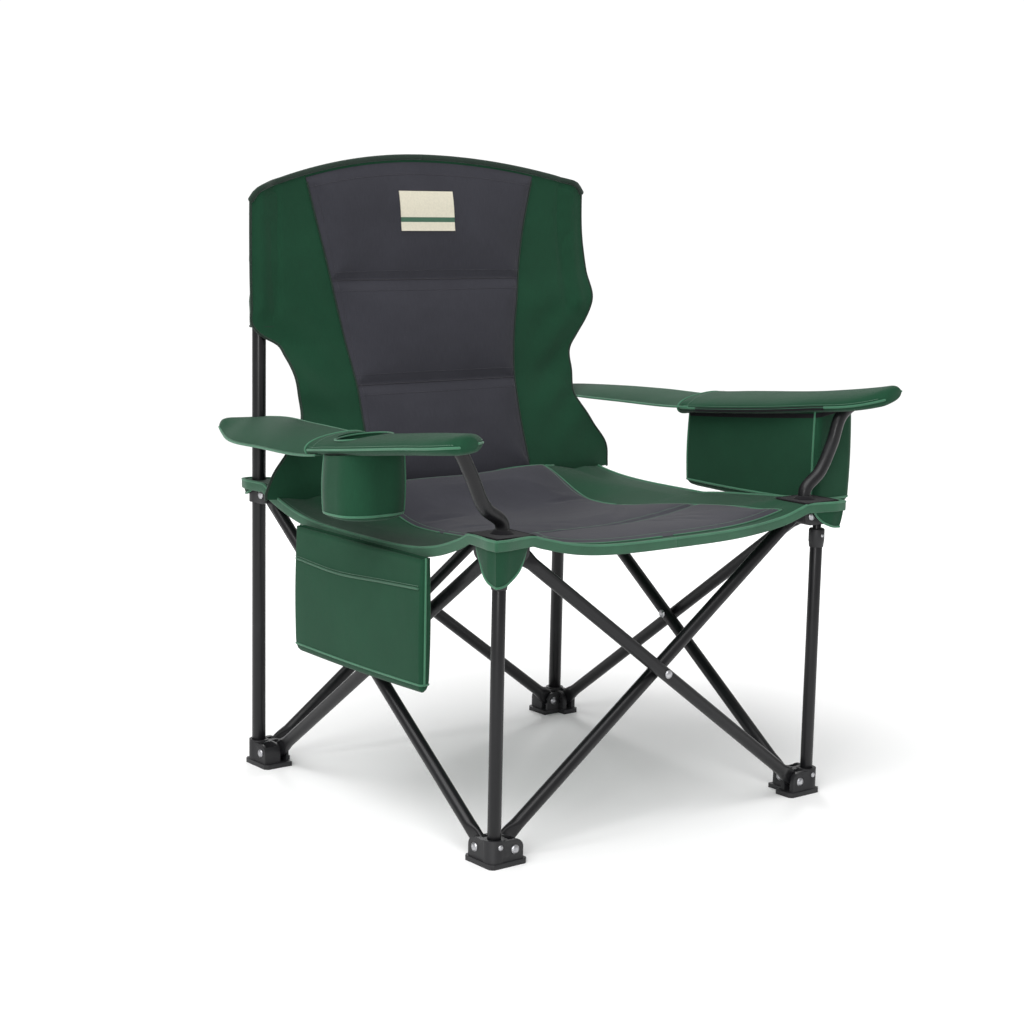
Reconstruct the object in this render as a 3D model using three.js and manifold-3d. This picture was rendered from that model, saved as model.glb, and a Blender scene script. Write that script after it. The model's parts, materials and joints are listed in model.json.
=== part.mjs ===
// Folding camp chair: a steel scissor frame that folds to a bundle, with a fabric seat, back,
// two armrests, a cup holder, a cooler bag and a magazine pocket.
// Millimetres, +Z up. The chair faces -Y and -X is its left-hand side as seen from the front.
// The origin is on the floor, midway between the four legs.
import * as THREE from 'three';
import Module from 'manifold-3d';
import { mergeVertices } from 'three/addons/utils/BufferGeometryUtils.js';

// Frame layout
const HALF_SPAN = 300;
const PIVOT_INSET = 26;
const INNER_OFFSET = 20;
const FOOT_PIVOT_Z = 22;
const HUB_PIVOT_Z = 428;
const RUNNING_GAP = 0.35;
const SEAT_GAP = 0.3;

// Tubes
const CROSS_RADIUS = 9.5;
const CROSS_WALL = 1;
const PRESSED_HALF_WIDTH = 12;
const PRESSED_HALF_THICK = 5;
const TIP_REACH = 11;
const TIP_HALF_WIDTH = 6.5;
const SHOULDER_REACH = 5;
const PRESSED_END = 16;
const ROUND_START = 38;
const POST_RADIUS = 10.5;
const POST_WALL = 1.2;
const POST_TOP = 870;
const LEG_RADIUS = 9.5;
const LEG_WALL = 1;
const LEG_TOP = 402;
const ROD_RADIUS = 6.35;
const ROD_WALL = 1;
const ROD_BOTTOM = 45;
const COLLAR_RADIUS = 12;
const COLLAR_HEIGHT = 28;
const COLLAR_LIP = 4;
const ARM_RADIUS = 9.5;
const ARM_WALL = 1;

// Feet and hubs: the same forked corner casting, standing up at the floor and upside down at the seat
const BASE_THICK = 7;
const BASE_REACH = 47;
const BASE_MARGIN = 16;
const WING_REACH = 40;
const WING_ROUND = 13;
const WALL_OUTER = 13;
const SLOT_HALF = 5.5;
const SLOT_START = 12.7;
const FOOT_HEIGHT = 36;
const HUB_BOTTOM = 414;
const HUB_CEILING = 441.5;
const HUB_TOP = 444.5;
const BOSS_RADIUS = 15;
const POCKET_FLOOR = 10;
const HEAD_RECESS = 9;
const SPIGOT_INSET = 14.5;
const SPIGOT_RADIUS = 7.4;
const SPIGOT_HEIGHT = 14;

// Rivets
const RIVET_RADIUS = 3;
const RIVET_HOLE = 3.6;
const HEAD_RADIUS = 5.5;
const HEAD_HEIGHT = 2.2;

// Fabric
const SEAT_THICK = 8;
const SEAT_CORNER_Z = 456;
const SEAT_SPAN = 258;
const SEAT_FRONT_SAG = 30;
const SEAT_SIDE_SAG = 44;
const SEAT_RIGHT_LIFT = 16; // the right side is pulled tighter than the left
const SEAT_CROWN = 24;
const SEAT_REAR_RISE = 34;
const SEAT_HOLE_GAP = 1.2;
const BACK_THICK = 10;
const BACK_BOTTOM = 466;
const BACK_TOP = 943;
const BACK_TOP_DROP = 58;
const SLEEVE_RADIUS = 15;
const SLEEVE_BOTTOM = 682;
const SLEEVE_TOP = 876;
const SEAM_GAP = 0.6;
const ARM_THICK = 14;
const ARM_SPLIT = 6;
const CUP_CENTRE = [-352, -60];
const CUP_HALF = 50;
const CUP_CORNER = 38;
const CUP_BOTTOM = 446;
const CUP_TOP = 528;
const CUP_WALL = 3;
const CUP_MOUTH = 40;
const COOLER = { x: [322, 401], y: [-272, 14], z: [430, 554], wall: 4 };
const MAGAZINE = { x: [-336, -320], y: [-178, 140], z: [216, 396], wall: 3 };

const TUBE_SIDES = 12;
const POST_SIDES = 18;
const HOLE_SIDES = 6;
const RIVET_SIDES = 8;

const wasm = await Module();
wasm.setup();

const paint = (color, roughness, metalness) => new THREE.MeshStandardMaterial({ color, roughness, metalness });
const FRAME_METAL = paint(0x25252a, 0.4, 0.6);
const BLACK_PLASTIC = paint(0x141416, 0.55, 0);
const RIVET_METAL = paint(0xc8c8cc, 0.3, 1);
const GREEN_FABRIC = paint(0x2d5a41, 0.9, 0);
const GREY_FABRIC = paint(0x484650, 0.9, 0);

const chair = new THREE.Group();

function add(name, shape, material, group = chair) {
  const mesh = new THREE.Mesh(shape.isBufferGeometry ? shape : toGeometry(shape), material);
  mesh.name = name;
  group.add(mesh);
  return mesh;
}

// A closed geometry as a solid that can be joined and cut
function toSolid(geometry) {
  const bare = geometry.clone();
  bare.deleteAttribute('normal');
  bare.deleteAttribute('uv');
  const merged = mergeVertices(bare, 1e-4);
  return new wasm.Manifold(new wasm.Mesh({
    numProp: 3,
    vertProperties: new Float32Array(merged.attributes.position.array),
    triVerts: new Uint32Array(merged.index.array),
  }));
}

function toGeometry(solid) {
  const data = solid.getMesh();
  const geometry = new THREE.BufferGeometry();
  geometry.setAttribute('position', new THREE.BufferAttribute(new Float32Array(data.vertProperties), 3));
  geometry.setIndex(new THREE.BufferAttribute(new Uint32Array(data.triVerts), 1));
  geometry.computeVertexNormals();
  return geometry;
}

const unite = (first, ...rest) => rest.reduce((sum, item) => sum.add(item), first);
const cut = (first, ...rest) => rest.reduce((sum, item) => sum.subtract(item), first);

function block(x, y, z) {
  const geometry = new THREE.BoxGeometry(x[1] - x[0], y[1] - y[0], z[1] - z[0]);
  geometry.translate((x[0] + x[1]) / 2, (y[0] + y[1]) / 2, (z[0] + z[1]) / 2);
  return toSolid(geometry);
}

// A cylinder from one point to another
function bar(from, to, radius, sides) {
  const start = new THREE.Vector3(...from);
  const along = new THREE.Vector3(...to).sub(start);
  const geometry = new THREE.CylinderGeometry(radius, radius, along.length(), sides);
  geometry.translate(0, along.length() / 2, 0);
  const turn = new THREE.Quaternion().setFromUnitVectors(new THREE.Vector3(0, 1, 0), along.clone().normalize());
  geometry.applyQuaternion(turn);
  geometry.translate(start.x, start.y, start.z);
  return toSolid(geometry);
}

// A closed skin through rings of equal point count; the last ring joins back to the first
function loft(rings) {
  const sides = rings[0].length;
  const positions = rings.flat().flatMap((point) => [point.x, point.y, point.z]);
  const index = [];
  for (let ring = 0; ring < rings.length; ring += 1) {
    const next = (ring + 1) % rings.length;
    for (let side = 0; side < sides; side += 1) {
      const a = ring * sides + side;
      const b = ring * sides + ((side + 1) % sides);
      const c = next * sides + ((side + 1) % sides);
      const d = next * sides + side;
      index.push(a, b, c, a, c, d);
    }
  }
  const geometry = new THREE.BufferGeometry();
  geometry.setAttribute('position', new THREE.BufferAttribute(new Float32Array(positions), 3));
  geometry.setIndex(index);
  return geometry;
}

function ellipseRing(halfWidth, halfThick, z) {
  return Array.from({ length: TUBE_SIDES }, (_, side) => {
    const turn = (2 * Math.PI * side) / TUBE_SIDES;
    return new THREE.Vector3(halfWidth * Math.cos(turn), halfThick * Math.sin(turn), z);
  });
}

// Cross tube: round in the middle, pressed flat and rounded at both ends, drilled for three rivets.
// It stands along Z from its bottom pivot, and its pivots turn about Y.
function crossTube(length) {
  const half = [
    [-TIP_REACH, TIP_HALF_WIDTH, PRESSED_HALF_THICK],
    [-SHOULDER_REACH, TIP_REACH, PRESSED_HALF_THICK],
    [PRESSED_END, PRESSED_HALF_WIDTH, PRESSED_HALF_THICK],
    [ROUND_START, CROSS_RADIUS, CROSS_RADIUS],
  ];
  const stations = [...half, ...half.map(([reach, width, thick]) => [length - reach, width, thick]).reverse()];
  const outer = stations.map(([z, width, thick]) => ellipseRing(width, thick, z));
  const inner = stations.map(([z, width, thick]) => ellipseRing(width - CROSS_WALL, thick - CROSS_WALL, z));
  const tube = toSolid(loft([...outer, ...inner.reverse()]));
  const holes = [0, length / 2, length].map((z) => (
    bar([0, -2 * CROSS_RADIUS, z], [0, 2 * CROSS_RADIUS, z], RIVET_HOLE, HOLE_SIDES)
  ));
  return cut(tube, ...holes);
}

function pipe(radius, wall, bottom, top, sides) {
  const profile = [
    [radius - wall, bottom],
    [radius, bottom],
    [radius, top],
    [radius - wall, top],
    [radius - wall, bottom],
  ].map(([r, z]) => new THREE.Vector2(r, z));
  return new THREE.LatheGeometry(profile, sides).rotateX(Math.PI / 2);
}

// Rivet from z = 0, the underside of its first head, to z = grip, the underside of its second
function rivet(grip) {
  const profile = [
    [0, -HEAD_HEIGHT],
    [HEAD_RADIUS * 0.68, -HEAD_HEIGHT * 0.75],
    [HEAD_RADIUS, 0],
    [RIVET_RADIUS, 0],
    [RIVET_RADIUS, grip],
    [HEAD_RADIUS, grip],
    [HEAD_RADIUS * 0.68, grip + HEAD_HEIGHT * 0.75],
    [0, grip + HEAD_HEIGHT],
  ].map(([r, z]) => new THREE.Vector2(r, z));
  return new THREE.LatheGeometry(profile, RIVET_SIDES).rotateX(Math.PI / 2);
}

// One upright wing of a corner casting: a plate profile swept across its thickness.
// The wing runs along X or along Y, from the post axis outwards.
function wing(alongX, across, z, roundAtTop) {
  const profile = new THREE.Shape();
  const [low, high] = z;
  const end = WING_REACH;
  if (roundAtTop) {
    profile.moveTo(0, low);
    profile.lineTo(end, low);
    profile.lineTo(end, high - WING_ROUND);
    profile.absarc(end - WING_ROUND, high - WING_ROUND, WING_ROUND, 0, Math.PI / 2, false);
    profile.lineTo(0, high);
  } else {
    profile.moveTo(0, high);
    profile.lineTo(0, low);
    profile.lineTo(end - WING_ROUND, low);
    profile.absarc(end - WING_ROUND, low + WING_ROUND, WING_ROUND, -Math.PI / 2, 0, false);
    profile.lineTo(end, high);
  }
  const depth = across[1] - across[0];
  const geometry = new THREE.ExtrudeGeometry(profile, { depth, bevelEnabled: false, curveSegments: 5 });
  const ex = new THREE.Vector3(1, 0, 0);
  const ey = new THREE.Vector3(0, 1, 0);
  const ez = new THREE.Vector3(0, 0, 1);
  if (alongX) {
    geometry.applyMatrix4(new THREE.Matrix4().makeBasis(ex, ez, ey.clone().negate()));
    geometry.translate(0, across[1], 0);
  } else {
    geometry.applyMatrix4(new THREE.Matrix4().makeBasis(ey, ez, ex));
    geometry.translate(across[0], 0, 0);
  }
  return toSolid(geometry);
}

// Both corner castings have a deep wing, whose fork stands INNER_OFFSET inside the post's plane,
// and a thin wing, whose fork is in the post's plane. The foot's deep wing runs along X, the hub's along Y.
function foot(postRadius) {
  const reach = BASE_REACH;
  const edge = BASE_MARGIN;
  const deep = INNER_OFFSET + SLOT_HALF + 4;
  const outline = new THREE.Shape();
  outline.moveTo(-edge + 5, -edge);
  outline.lineTo(reach - 5, -edge);
  outline.lineTo(reach, -edge + 5);
  outline.lineTo(reach, deep + 2);
  outline.lineTo(edge, deep + 2);
  outline.lineTo(edge, reach);
  outline.lineTo(-edge + 5, reach);
  outline.lineTo(-edge, reach - 5);
  outline.lineTo(-edge, -edge + 5);
  const base = toSolid(new THREE.ExtrudeGeometry(outline, { depth: BASE_THICK, bevelEnabled: false }));
  const body = unite(
    base,
    wing(true, [-WALL_OUTER, deep], [BASE_THICK - 2, FOOT_HEIGHT], true),
    wing(false, [-WALL_OUTER, WALL_OUTER], [BASE_THICK - 2, FOOT_HEIGHT], true),
    bar([0, 0, BASE_THICK - 2], [0, 0, FOOT_HEIGHT + 2], BOSS_RADIUS, POST_SIDES),
  );
  const forks = castingCuts(true, [BASE_THICK, FOOT_HEIGHT + 20], FOOT_PIVOT_Z);
  const lightening = block([18, WING_REACH - 4], [-WALL_OUTER + 4, INNER_OFFSET - SLOT_HALF - 4],
    [POCKET_FLOOR, FOOT_HEIGHT + 20]);
  const bore = bar([0, 0, BASE_THICK], [0, 0, FOOT_HEIGHT + 20], postRadius + RUNNING_GAP, POST_SIDES);
  return cut(body, ...forks, lightening, bore);
}

// The fork slots and rivet holes of a casting, as solids to cut away
function castingCuts(deepAlongX, z, pivotZ) {
  const turned = (x, y) => (deepAlongX ? [x, y] : [y, x]);
  const slot = (along, across) => {
    const [x, y] = turned(along, across);
    return block(x, y, z);
  };
  const hole = (from, to, radius, sides) => bar([...turned(...from), pivotZ], [...turned(...to), pivotZ],
    radius, sides);
  const far = BASE_REACH + 20;
  return [
    slot([SLOT_START, far], [INNER_OFFSET - SLOT_HALF, INNER_OFFSET + SLOT_HALF]),
    slot([-SLOT_HALF, SLOT_HALF], [SLOT_START, far]),
    hole([PIVOT_INSET, -far], [PIVOT_INSET, far], RIVET_HOLE, HOLE_SIDES),
    hole([-far, PIVOT_INSET], [far, PIVOT_INSET], RIVET_HOLE, HOLE_SIDES),
    hole([HEAD_RECESS, PIVOT_INSET], [SLOT_START + 1, PIVOT_INSET], HEAD_RADIUS + 0.6, RIVET_SIDES),
  ];
}

function hub(boreRadius, throughBore, withSpigot) {
  const deep = INNER_OFFSET + SLOT_HALF + 4;
  let body = unite(
    wing(false, [-WALL_OUTER, deep], [HUB_BOTTOM, HUB_TOP], false),
    wing(true, [-WALL_OUTER, WALL_OUTER], [HUB_BOTTOM, HUB_TOP], false),
    bar([0, 0, HUB_BOTTOM], [0, 0, HUB_TOP], BOSS_RADIUS, POST_SIDES),
  );
  if (withSpigot) {
    const at = SPIGOT_INSET;
    body = body.add(bar([at, at, HUB_CEILING], [at, at, HUB_TOP + SPIGOT_HEIGHT], SPIGOT_RADIUS, TUBE_SIDES));
  }
  const forks = castingCuts(false, [HUB_BOTTOM - 10, HUB_CEILING], HUB_PIVOT_Z);
  const top = throughBore ? HUB_TOP + 10 : HUB_CEILING;
  return cut(body, ...forks, bar([0, 0, HUB_BOTTOM - 10], [0, 0, top], boreRadius, POST_SIDES));
}

// Corners in order round the chair; each corner's group is turned so its castings face inwards
const CORNERS = [
  { name: 'front_left', x: -1, y: -1, turn: 0 },
  { name: 'front_right', x: 1, y: -1, turn: Math.PI / 2 },
  { name: 'rear_right', x: 1, y: 1, turn: Math.PI },
  { name: 'rear_left', x: -1, y: 1, turn: -Math.PI / 2 },
];

function cornerGroup(corner) {
  const group = new THREE.Group();
  group.position.set(corner.x * HALF_SPAN, corner.y * HALF_SPAN, 0);
  group.rotation.z = corner.turn;
  chair.add(group);
  return group;
}

// A rivet laid from (x, y, z) along X or Y of its group
function layRivet(name, grip, from, alongX, group) {
  const pin = add(name, rivet(grip), RIVET_METAL, group);
  pin.position.set(...from);
  if (alongX) pin.rotation.y = Math.PI / 2;
  else pin.rotation.x = -Math.PI / 2;
}

function castingRivets(name, deepAlongX, z, group) {
  const deepGrip = WALL_OUTER + INNER_OFFSET + SLOT_HALF + 4 + 2 * SEAT_GAP;
  const thinGrip = WALL_OUTER + HEAD_RECESS + 2 * SEAT_GAP;
  const start = -WALL_OUTER - SEAT_GAP;
  if (deepAlongX) {
    layRivet(`rivet_${name}_deep`, deepGrip, [PIVOT_INSET, start, z], false, group);
    layRivet(`rivet_${name}_thin`, thinGrip, [start, PIVOT_INSET, z], true, group);
  } else {
    layRivet(`rivet_${name}_deep`, deepGrip, [start, PIVOT_INSET, z], true, group);
    layRivet(`rivet_${name}_thin`, thinGrip, [PIVOT_INSET, start, z], false, group);
  }
}

for (const corner of CORNERS) {
  const group = cornerGroup(corner);
  const rear = corner.y > 0;
  add(`foot_${corner.name}`, foot(rear ? POST_RADIUS : LEG_RADIUS), BLACK_PLASTIC, group);
  castingRivets(`foot_${corner.name}`, true, FOOT_PIVOT_Z, group);
  const boreRadius = (rear ? POST_RADIUS : ROD_RADIUS) + RUNNING_GAP;
  const kind = rear ? 'slider' : 'hub';
  add(`${kind}_${corner.name}`, hub(boreRadius, rear, !rear), BLACK_PLASTIC, group);
  castingRivets(`${kind}_${corner.name}`, false, HUB_PIVOT_Z, group);
  const standing = BASE_THICK + SEAT_GAP;
  if (rear) {
    add(`post_${corner.name}`, pipe(POST_RADIUS, POST_WALL, standing, POST_TOP, POST_SIDES), FRAME_METAL, group);
  } else {
    add(`leg_${corner.name}`, pipe(LEG_RADIUS, LEG_WALL, standing, LEG_TOP, POST_SIDES), FRAME_METAL, group);
    add(`rod_${corner.name}`, pipe(ROD_RADIUS, ROD_WALL, ROD_BOTTOM, HUB_CEILING - SEAT_GAP, TUBE_SIDES),
      FRAME_METAL, group);
    add(`collar_${corner.name}`, collar(), BLACK_PLASTIC, group);
  }
}

// Collar on the top of a front leg: it grips the leg and guides the thinner rod
function collar() {
  const bottom = LEG_TOP + COLLAR_LIP - COLLAR_HEIGHT;
  const grip = LEG_RADIUS + SEAT_GAP;
  const profile = [
    [grip, bottom],
    [COLLAR_RADIUS - 1.2, bottom],
    [COLLAR_RADIUS, bottom + 8],
    [COLLAR_RADIUS, LEG_TOP + COLLAR_LIP - 1.5],
    [COLLAR_RADIUS - 1.5, LEG_TOP + COLLAR_LIP],
    [ROD_RADIUS + RUNNING_GAP, LEG_TOP + COLLAR_LIP],
    [ROD_RADIUS + RUNNING_GAP, LEG_TOP + SEAT_GAP],
    [grip, LEG_TOP + SEAT_GAP],
    [grip, bottom],
  ].map(([r, z]) => new THREE.Vector2(r, z));
  return new THREE.LatheGeometry(profile, POST_SIDES).rotateX(Math.PI / 2);
}

// Cross tubes: one pair on each side of the square, crossing at a rivet halfway up.
// Seen along a side, "inner" runs up from the corner whose deep fork holds its foot.
const tubeRun = 2 * (HALF_SPAN - PIVOT_INSET);
const tubeRise = HUB_PIVOT_Z - FOOT_PIVOT_Z;
const tubeLength = Math.hypot(tubeRun, tubeRise);
const tubeLean = Math.atan2(tubeRun, tubeRise);
const tubeGeometry = toGeometry(crossTube(tubeLength));

const SIDES = [
  { name: 'front', turn: 0 },
  { name: 'right', turn: Math.PI / 2 },
  { name: 'rear', turn: Math.PI },
  { name: 'left', turn: -Math.PI / 2 },
];

for (const side of SIDES) {
  const group = new THREE.Group();
  group.rotation.z = side.turn;
  chair.add(group);
  const inner = add(`tube_${side.name}_inner`, tubeGeometry, FRAME_METAL, group);
  inner.position.set(-tubeRun / 2, -HALF_SPAN + INNER_OFFSET, FOOT_PIVOT_Z);
  inner.rotation.y = tubeLean;
  const outer = add(`tube_${side.name}_outer`, tubeGeometry, FRAME_METAL, group);
  outer.position.set(tubeRun / 2, -HALF_SPAN, FOOT_PIVOT_Z);
  outer.rotation.y = -tubeLean;
  const grip = INNER_OFFSET + 2 * CROSS_RADIUS + 2 * SEAT_GAP;
  layRivet(`rivet_cross_${side.name}`, grip,
    [0, -HALF_SPAN - CROSS_RADIUS - SEAT_GAP, (FOOT_PIVOT_Z + HUB_PIVOT_Z) / 2], false, group);
}

// Arm tubes: each stands on its front hub's spigot and leans outwards to the armrest
const ARM_BASE = HALF_SPAN - SPIGOT_INSET;
const ARM_START = HUB_TOP + SEAT_GAP;
const ARM_PATHS = {
  left: [
    [-ARM_BASE, -ARM_BASE, ARM_START],
    [-ARM_BASE, -ARM_BASE, ARM_START + 15],
    [-317, -289, 486],
    [-345, -294, 532],
    [-368, -298, 566],
    [-380, -300, 578],
  ],
  right: [
    [ARM_BASE, -ARM_BASE, ARM_START],
    [ARM_BASE, -ARM_BASE, ARM_START + 15],
    [312, -289, 488],
    [333, -292, 530],
    [348, -295, 572],
    [378, -300, 594],
  ],
};

function armTube(path, radius, wall, sides) {
  const curve = new THREE.CatmullRomCurve3(path.map((point) => new THREE.Vector3(...point)));
  const section = new THREE.Shape();
  section.absarc(0, 0, radius, 0, 2 * Math.PI, false);
  if (wall > 0) {
    const bore = new THREE.Path();
    bore.absarc(0, 0, radius - wall, 0, 2 * Math.PI, true);
    section.holes.push(bore);
  }
  const options = { steps: 12, curveSegments: sides / 2, extrudePath: curve, bevelEnabled: false };
  return toSolid(new THREE.ExtrudeGeometry(section, options));
}

for (const side of ['left', 'right']) {
  add(`arm_tube_${side}`, armTube(ARM_PATHS[side], ARM_RADIUS, ARM_WALL, TUBE_SIDES), FRAME_METAL);
}

// A slab over a grid: top(u, v) gives points of its upper skin and under(point) the matching lower one
function slab(columns, rows, top, under) {
  const upper = [];
  for (let row = 0; row <= rows; row += 1) {
    for (let column = 0; column <= columns; column += 1) upper.push(top(column / columns, row / rows));
  }
  const points = [...upper, ...upper.map(under)];
  const count = upper.length;
  const at = (column, row) => row * (columns + 1) + column;
  const index = [];
  const quad = (a, b, c, d) => index.push(a, b, c, a, c, d);
  for (let row = 0; row < rows; row += 1) {
    for (let column = 0; column < columns; column += 1) {
      const [a, b, c, d] = [at(column, row), at(column + 1, row), at(column + 1, row + 1), at(column, row + 1)];
      quad(a, b, c, d);
      quad(d + count, c + count, b + count, a + count);
    }
  }
  const rim = [];
  for (let column = 0; column < columns; column += 1) rim.push(at(column, 0));
  for (let row = 0; row < rows; row += 1) rim.push(at(columns, row));
  for (let column = columns; column > 0; column -= 1) rim.push(at(column, rows));
  for (let row = rows; row > 0; row -= 1) rim.push(at(0, row));
  rim.forEach((a, step) => {
    const b = rim[(step + 1) % rim.length];
    quad(a + count, b + count, b, a);
  });
  const geometry = new THREE.BufferGeometry();
  geometry.setAttribute('position', new THREE.BufferAttribute(
    new Float32Array(points.flatMap((point) => [point.x, point.y, point.z])), 3));
  geometry.setIndex(index);
  const solid = toSolid(geometry);
  return solid.volume() > 0 ? solid : toSolid(flipped(geometry));
}

function flipped(geometry) {
  const turned = geometry.clone();
  const order = Array.from(geometry.index.array);
  for (let start = 0; start < order.length; start += 3) {
    [order[start + 1], order[start + 2]] = [order[start + 2], order[start + 1]];
  }
  turned.setIndex(order);
  return turned;
}

const mix = (a, b, t) => a + (b - a) * t;
const smooth = (low, high, value) => THREE.MathUtils.smoothstep(value, low, high);

// Seat: it hangs from the four hubs, lowest along its middle, and its corners reach past the posts
const SEAT_EDGE_MID = 312;
const SEAT_EAR_FRONT = 338;
const SEAT_EAR_REAR = 328;
const JUNCTION_Y = 204;

// How far a point between two hubs has left them: 0 over either hub, 1 midway
const between = (value) => 1 - Math.min(1, Math.abs(value) / SEAT_SPAN) ** 3.5;

function seatHeight(x, y) {
  const across = between(x);
  const along = between(y);
  const rise = SEAT_REAR_RISE * smooth(60, JUNCTION_Y, y) * across;
  const sideSag = SEAT_SIDE_SAG - SEAT_RIGHT_LIFT * smooth(0, SEAT_SPAN, x);
  return SEAT_CORNER_Z - SEAT_FRONT_SAG * across - sideSag * along + SEAT_CROWN * across * along + rise;
}

function seatQuadrant(corner) {
  const ear = corner.y < 0 ? SEAT_EAR_FRONT : SEAT_EAR_REAR;
  const top = (u, v) => {
    const flare = (t) => mix(SEAT_EDGE_MID, ear, t ** 6);
    let y = mix(SEAM_GAP / 2, flare(u), v);
    if (corner.y > 0) {
      const rear = mix(JUNCTION_Y, flare(u), smooth(0.62, 0.95, u));
      y = mix(SEAM_GAP / 2, rear, v);
    }
    const x = mix(SEAM_GAP / 2, flare(y / ear), u);
    return new THREE.Vector3(corner.x * x, corner.y * y, seatHeight(x, corner.y * y));
  };
  const under = (point) => point.clone().setZ(point.z - SEAT_THICK);
  const near = HALF_SPAN - BASE_REACH;
  const far = HALF_SPAN + 60;
  const span = (sign) => (sign < 0 ? [-far, -near] : [near, far]);
  const hubRoom = block(span(corner.x), span(corner.y), [HUB_TOP - 60, HUB_TOP + SEAT_GAP]);
  const place = corner.y > 0 ? HALF_SPAN : ARM_BASE;
  const radius = (corner.y > 0 ? POST_RADIUS : ARM_RADIUS) + SEAT_HOLE_GAP;
  const at = [corner.x * place, corner.y * place];
  const passage = bar([...at, HUB_TOP - 20], [...at, HUB_TOP + 40], radius, TUBE_SIDES);
  return cut(slab(8, 8, top, under), hubRoom, passage);
}

for (const corner of CORNERS) add(`seat_${corner.name}`, seatQuadrant(corner), GREY_FABRIC);

// Back: two halves that meet on the centre plane; each is sleeved over its post at the top
const BACK_EDGE = [
  [BACK_BOTTOM, 322, 222],
  [515, 286, 222],
  [560, 266, 236],
  [620, 280, 260],
  [668, 302, 284],
  [700, 317, 287],
  [BACK_TOP, 320, 288],
];
const BACK_MIDDLE = [
  [BACK_BOTTOM, 212],
  [590, 253],
  [750, 288],
  [910, 310],
  [BACK_TOP, 311],
];

// A column of a table, read between the two rows whose first value lies either side of the key
function along(table, key, column) {
  const above = table.findIndex((row) => row[0] >= key);
  const high = table[Math.max(1, above < 0 ? table.length - 1 : above)];
  const low = table[table.indexOf(high) - 1];
  const t = THREE.MathUtils.clamp((key - low[0]) / (high[0] - low[0]), 0, 1);
  return mix(low[column], high[column], t);
}

function backHalf(side) {
  const front = (u, v) => {
    const topZ = BACK_TOP - BACK_TOP_DROP * u * u;
    const z = mix(BACK_BOTTOM, topZ, v);
    const x = mix(SEAM_GAP / 2, along(BACK_EDGE, z, 1), u);
    const y = mix(along(BACK_MIDDLE, z, 1), along(BACK_EDGE, z, 2), u ** 2.2);
    return new THREE.Vector3(side * x, y - BACK_THICK, z);
  };
  const rear = (point) => point.clone().setY(point.y + BACK_THICK);
  const post = [side * HALF_SPAN, HALF_SPAN];
  const sleeve = bar([...post, SLEEVE_BOTTOM], [...post, SLEEVE_TOP], SLEEVE_RADIUS, POST_SIDES);
  const bore = bar([...post, BACK_BOTTOM], [...post, POST_TOP + 1], POST_RADIUS + 2 * SEAT_GAP, POST_SIDES);
  return cut(slab(7, 12, front, rear).add(sleeve), bore);
}

add('back_left', backHalf(-1), GREY_FABRIC);
add('back_right', backHalf(1), GREY_FABRIC);

// Armrests: each row of a table gives y, inner x, outer x, inner z and outer z of the strip
const ARM_LEFT = [
  [-322, 350, 392, 588, 582],
  [-296, 334, 399, 585, 573],
  [-220, 320, 404, 579, 558],
  [-60, 302, 405, 563, 545],
  [ARM_SPLIT, 300, 403, 560, 536],
  [150, 296, 392, 564, 534],
  [300, 283, 366, 560, 532],
  [350, 312, 346, 553, 546],
];
const ARM_RIGHT = [
  [-350, 322, 404, 606, 620],
  [-250, 312, 405, 592, 606],
  [-60, 302, 405, 573, 588],
  [ARM_SPLIT, 300, 403, 568, 582],
  [150, 296, 392, 564, 578],
  [300, 283, 366, 562, 574],
  [350, 312, 346, 560, 566],
];

function armrest(side, table, range) {
  const top = (u, v) => {
    const y = mix(range[0], range[1], v);
    const x = mix(along(table, y, 1), along(table, y, 2), u);
    const crown = 3 * Math.sin(Math.PI * u);
    const z = mix(along(table, y, 3), along(table, y, 4), u) + crown;
    return new THREE.Vector3(side * x, y, z);
  };
  const under = (point) => point.clone().setZ(point.z - ARM_THICK);
  return slab(4, 8, top, under);
}

const ARM_FRONT_LEFT = [-322, ARM_SPLIT - SEAM_GAP];
const ARM_FRONT_RIGHT = [-350, ARM_SPLIT - SEAM_GAP];
const ARM_REAR = [ARM_SPLIT, 350];
const grownArm = (name) => armTube(ARM_PATHS[name], ARM_RADIUS + 0.5, 0, TUBE_SIDES);
const postHole = (side) => bar([side * HALF_SPAN, HALF_SPAN, 500], [side * HALF_SPAN, HALF_SPAN, 620],
  POST_RADIUS + SEAT_HOLE_GAP, TUBE_SIDES);
const cupMouth = bar([...CUP_CENTRE, 500], [...CUP_CENTRE, 640], CUP_MOUTH, POST_SIDES);

add('armrest_front_left', cut(armrest(-1, ARM_LEFT, ARM_FRONT_LEFT), grownArm('left'), cupMouth), GREEN_FABRIC);
add('armrest_front_right', cut(armrest(1, ARM_RIGHT, ARM_FRONT_RIGHT), grownArm('right')), GREEN_FABRIC);
add('armrest_rear_left', cut(armrest(-1, ARM_LEFT, ARM_REAR), postHole(-1)), GREEN_FABRIC);
add('armrest_rear_right', cut(armrest(1, ARM_RIGHT, ARM_REAR), postHole(1)), GREEN_FABRIC);

// Cup holder: a round-cornered bag under the left armrest's mouth
function roundedSquare(half, corner) {
  const flat = half - corner;
  const shape = new THREE.Shape();
  shape.absarc(flat, flat, corner, 0, Math.PI / 2, false);
  shape.absarc(-flat, flat, corner, Math.PI / 2, Math.PI, false);
  shape.absarc(-flat, -flat, corner, Math.PI, 1.5 * Math.PI, false);
  shape.absarc(flat, -flat, corner, 1.5 * Math.PI, 2 * Math.PI, false);
  return shape;
}

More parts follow.
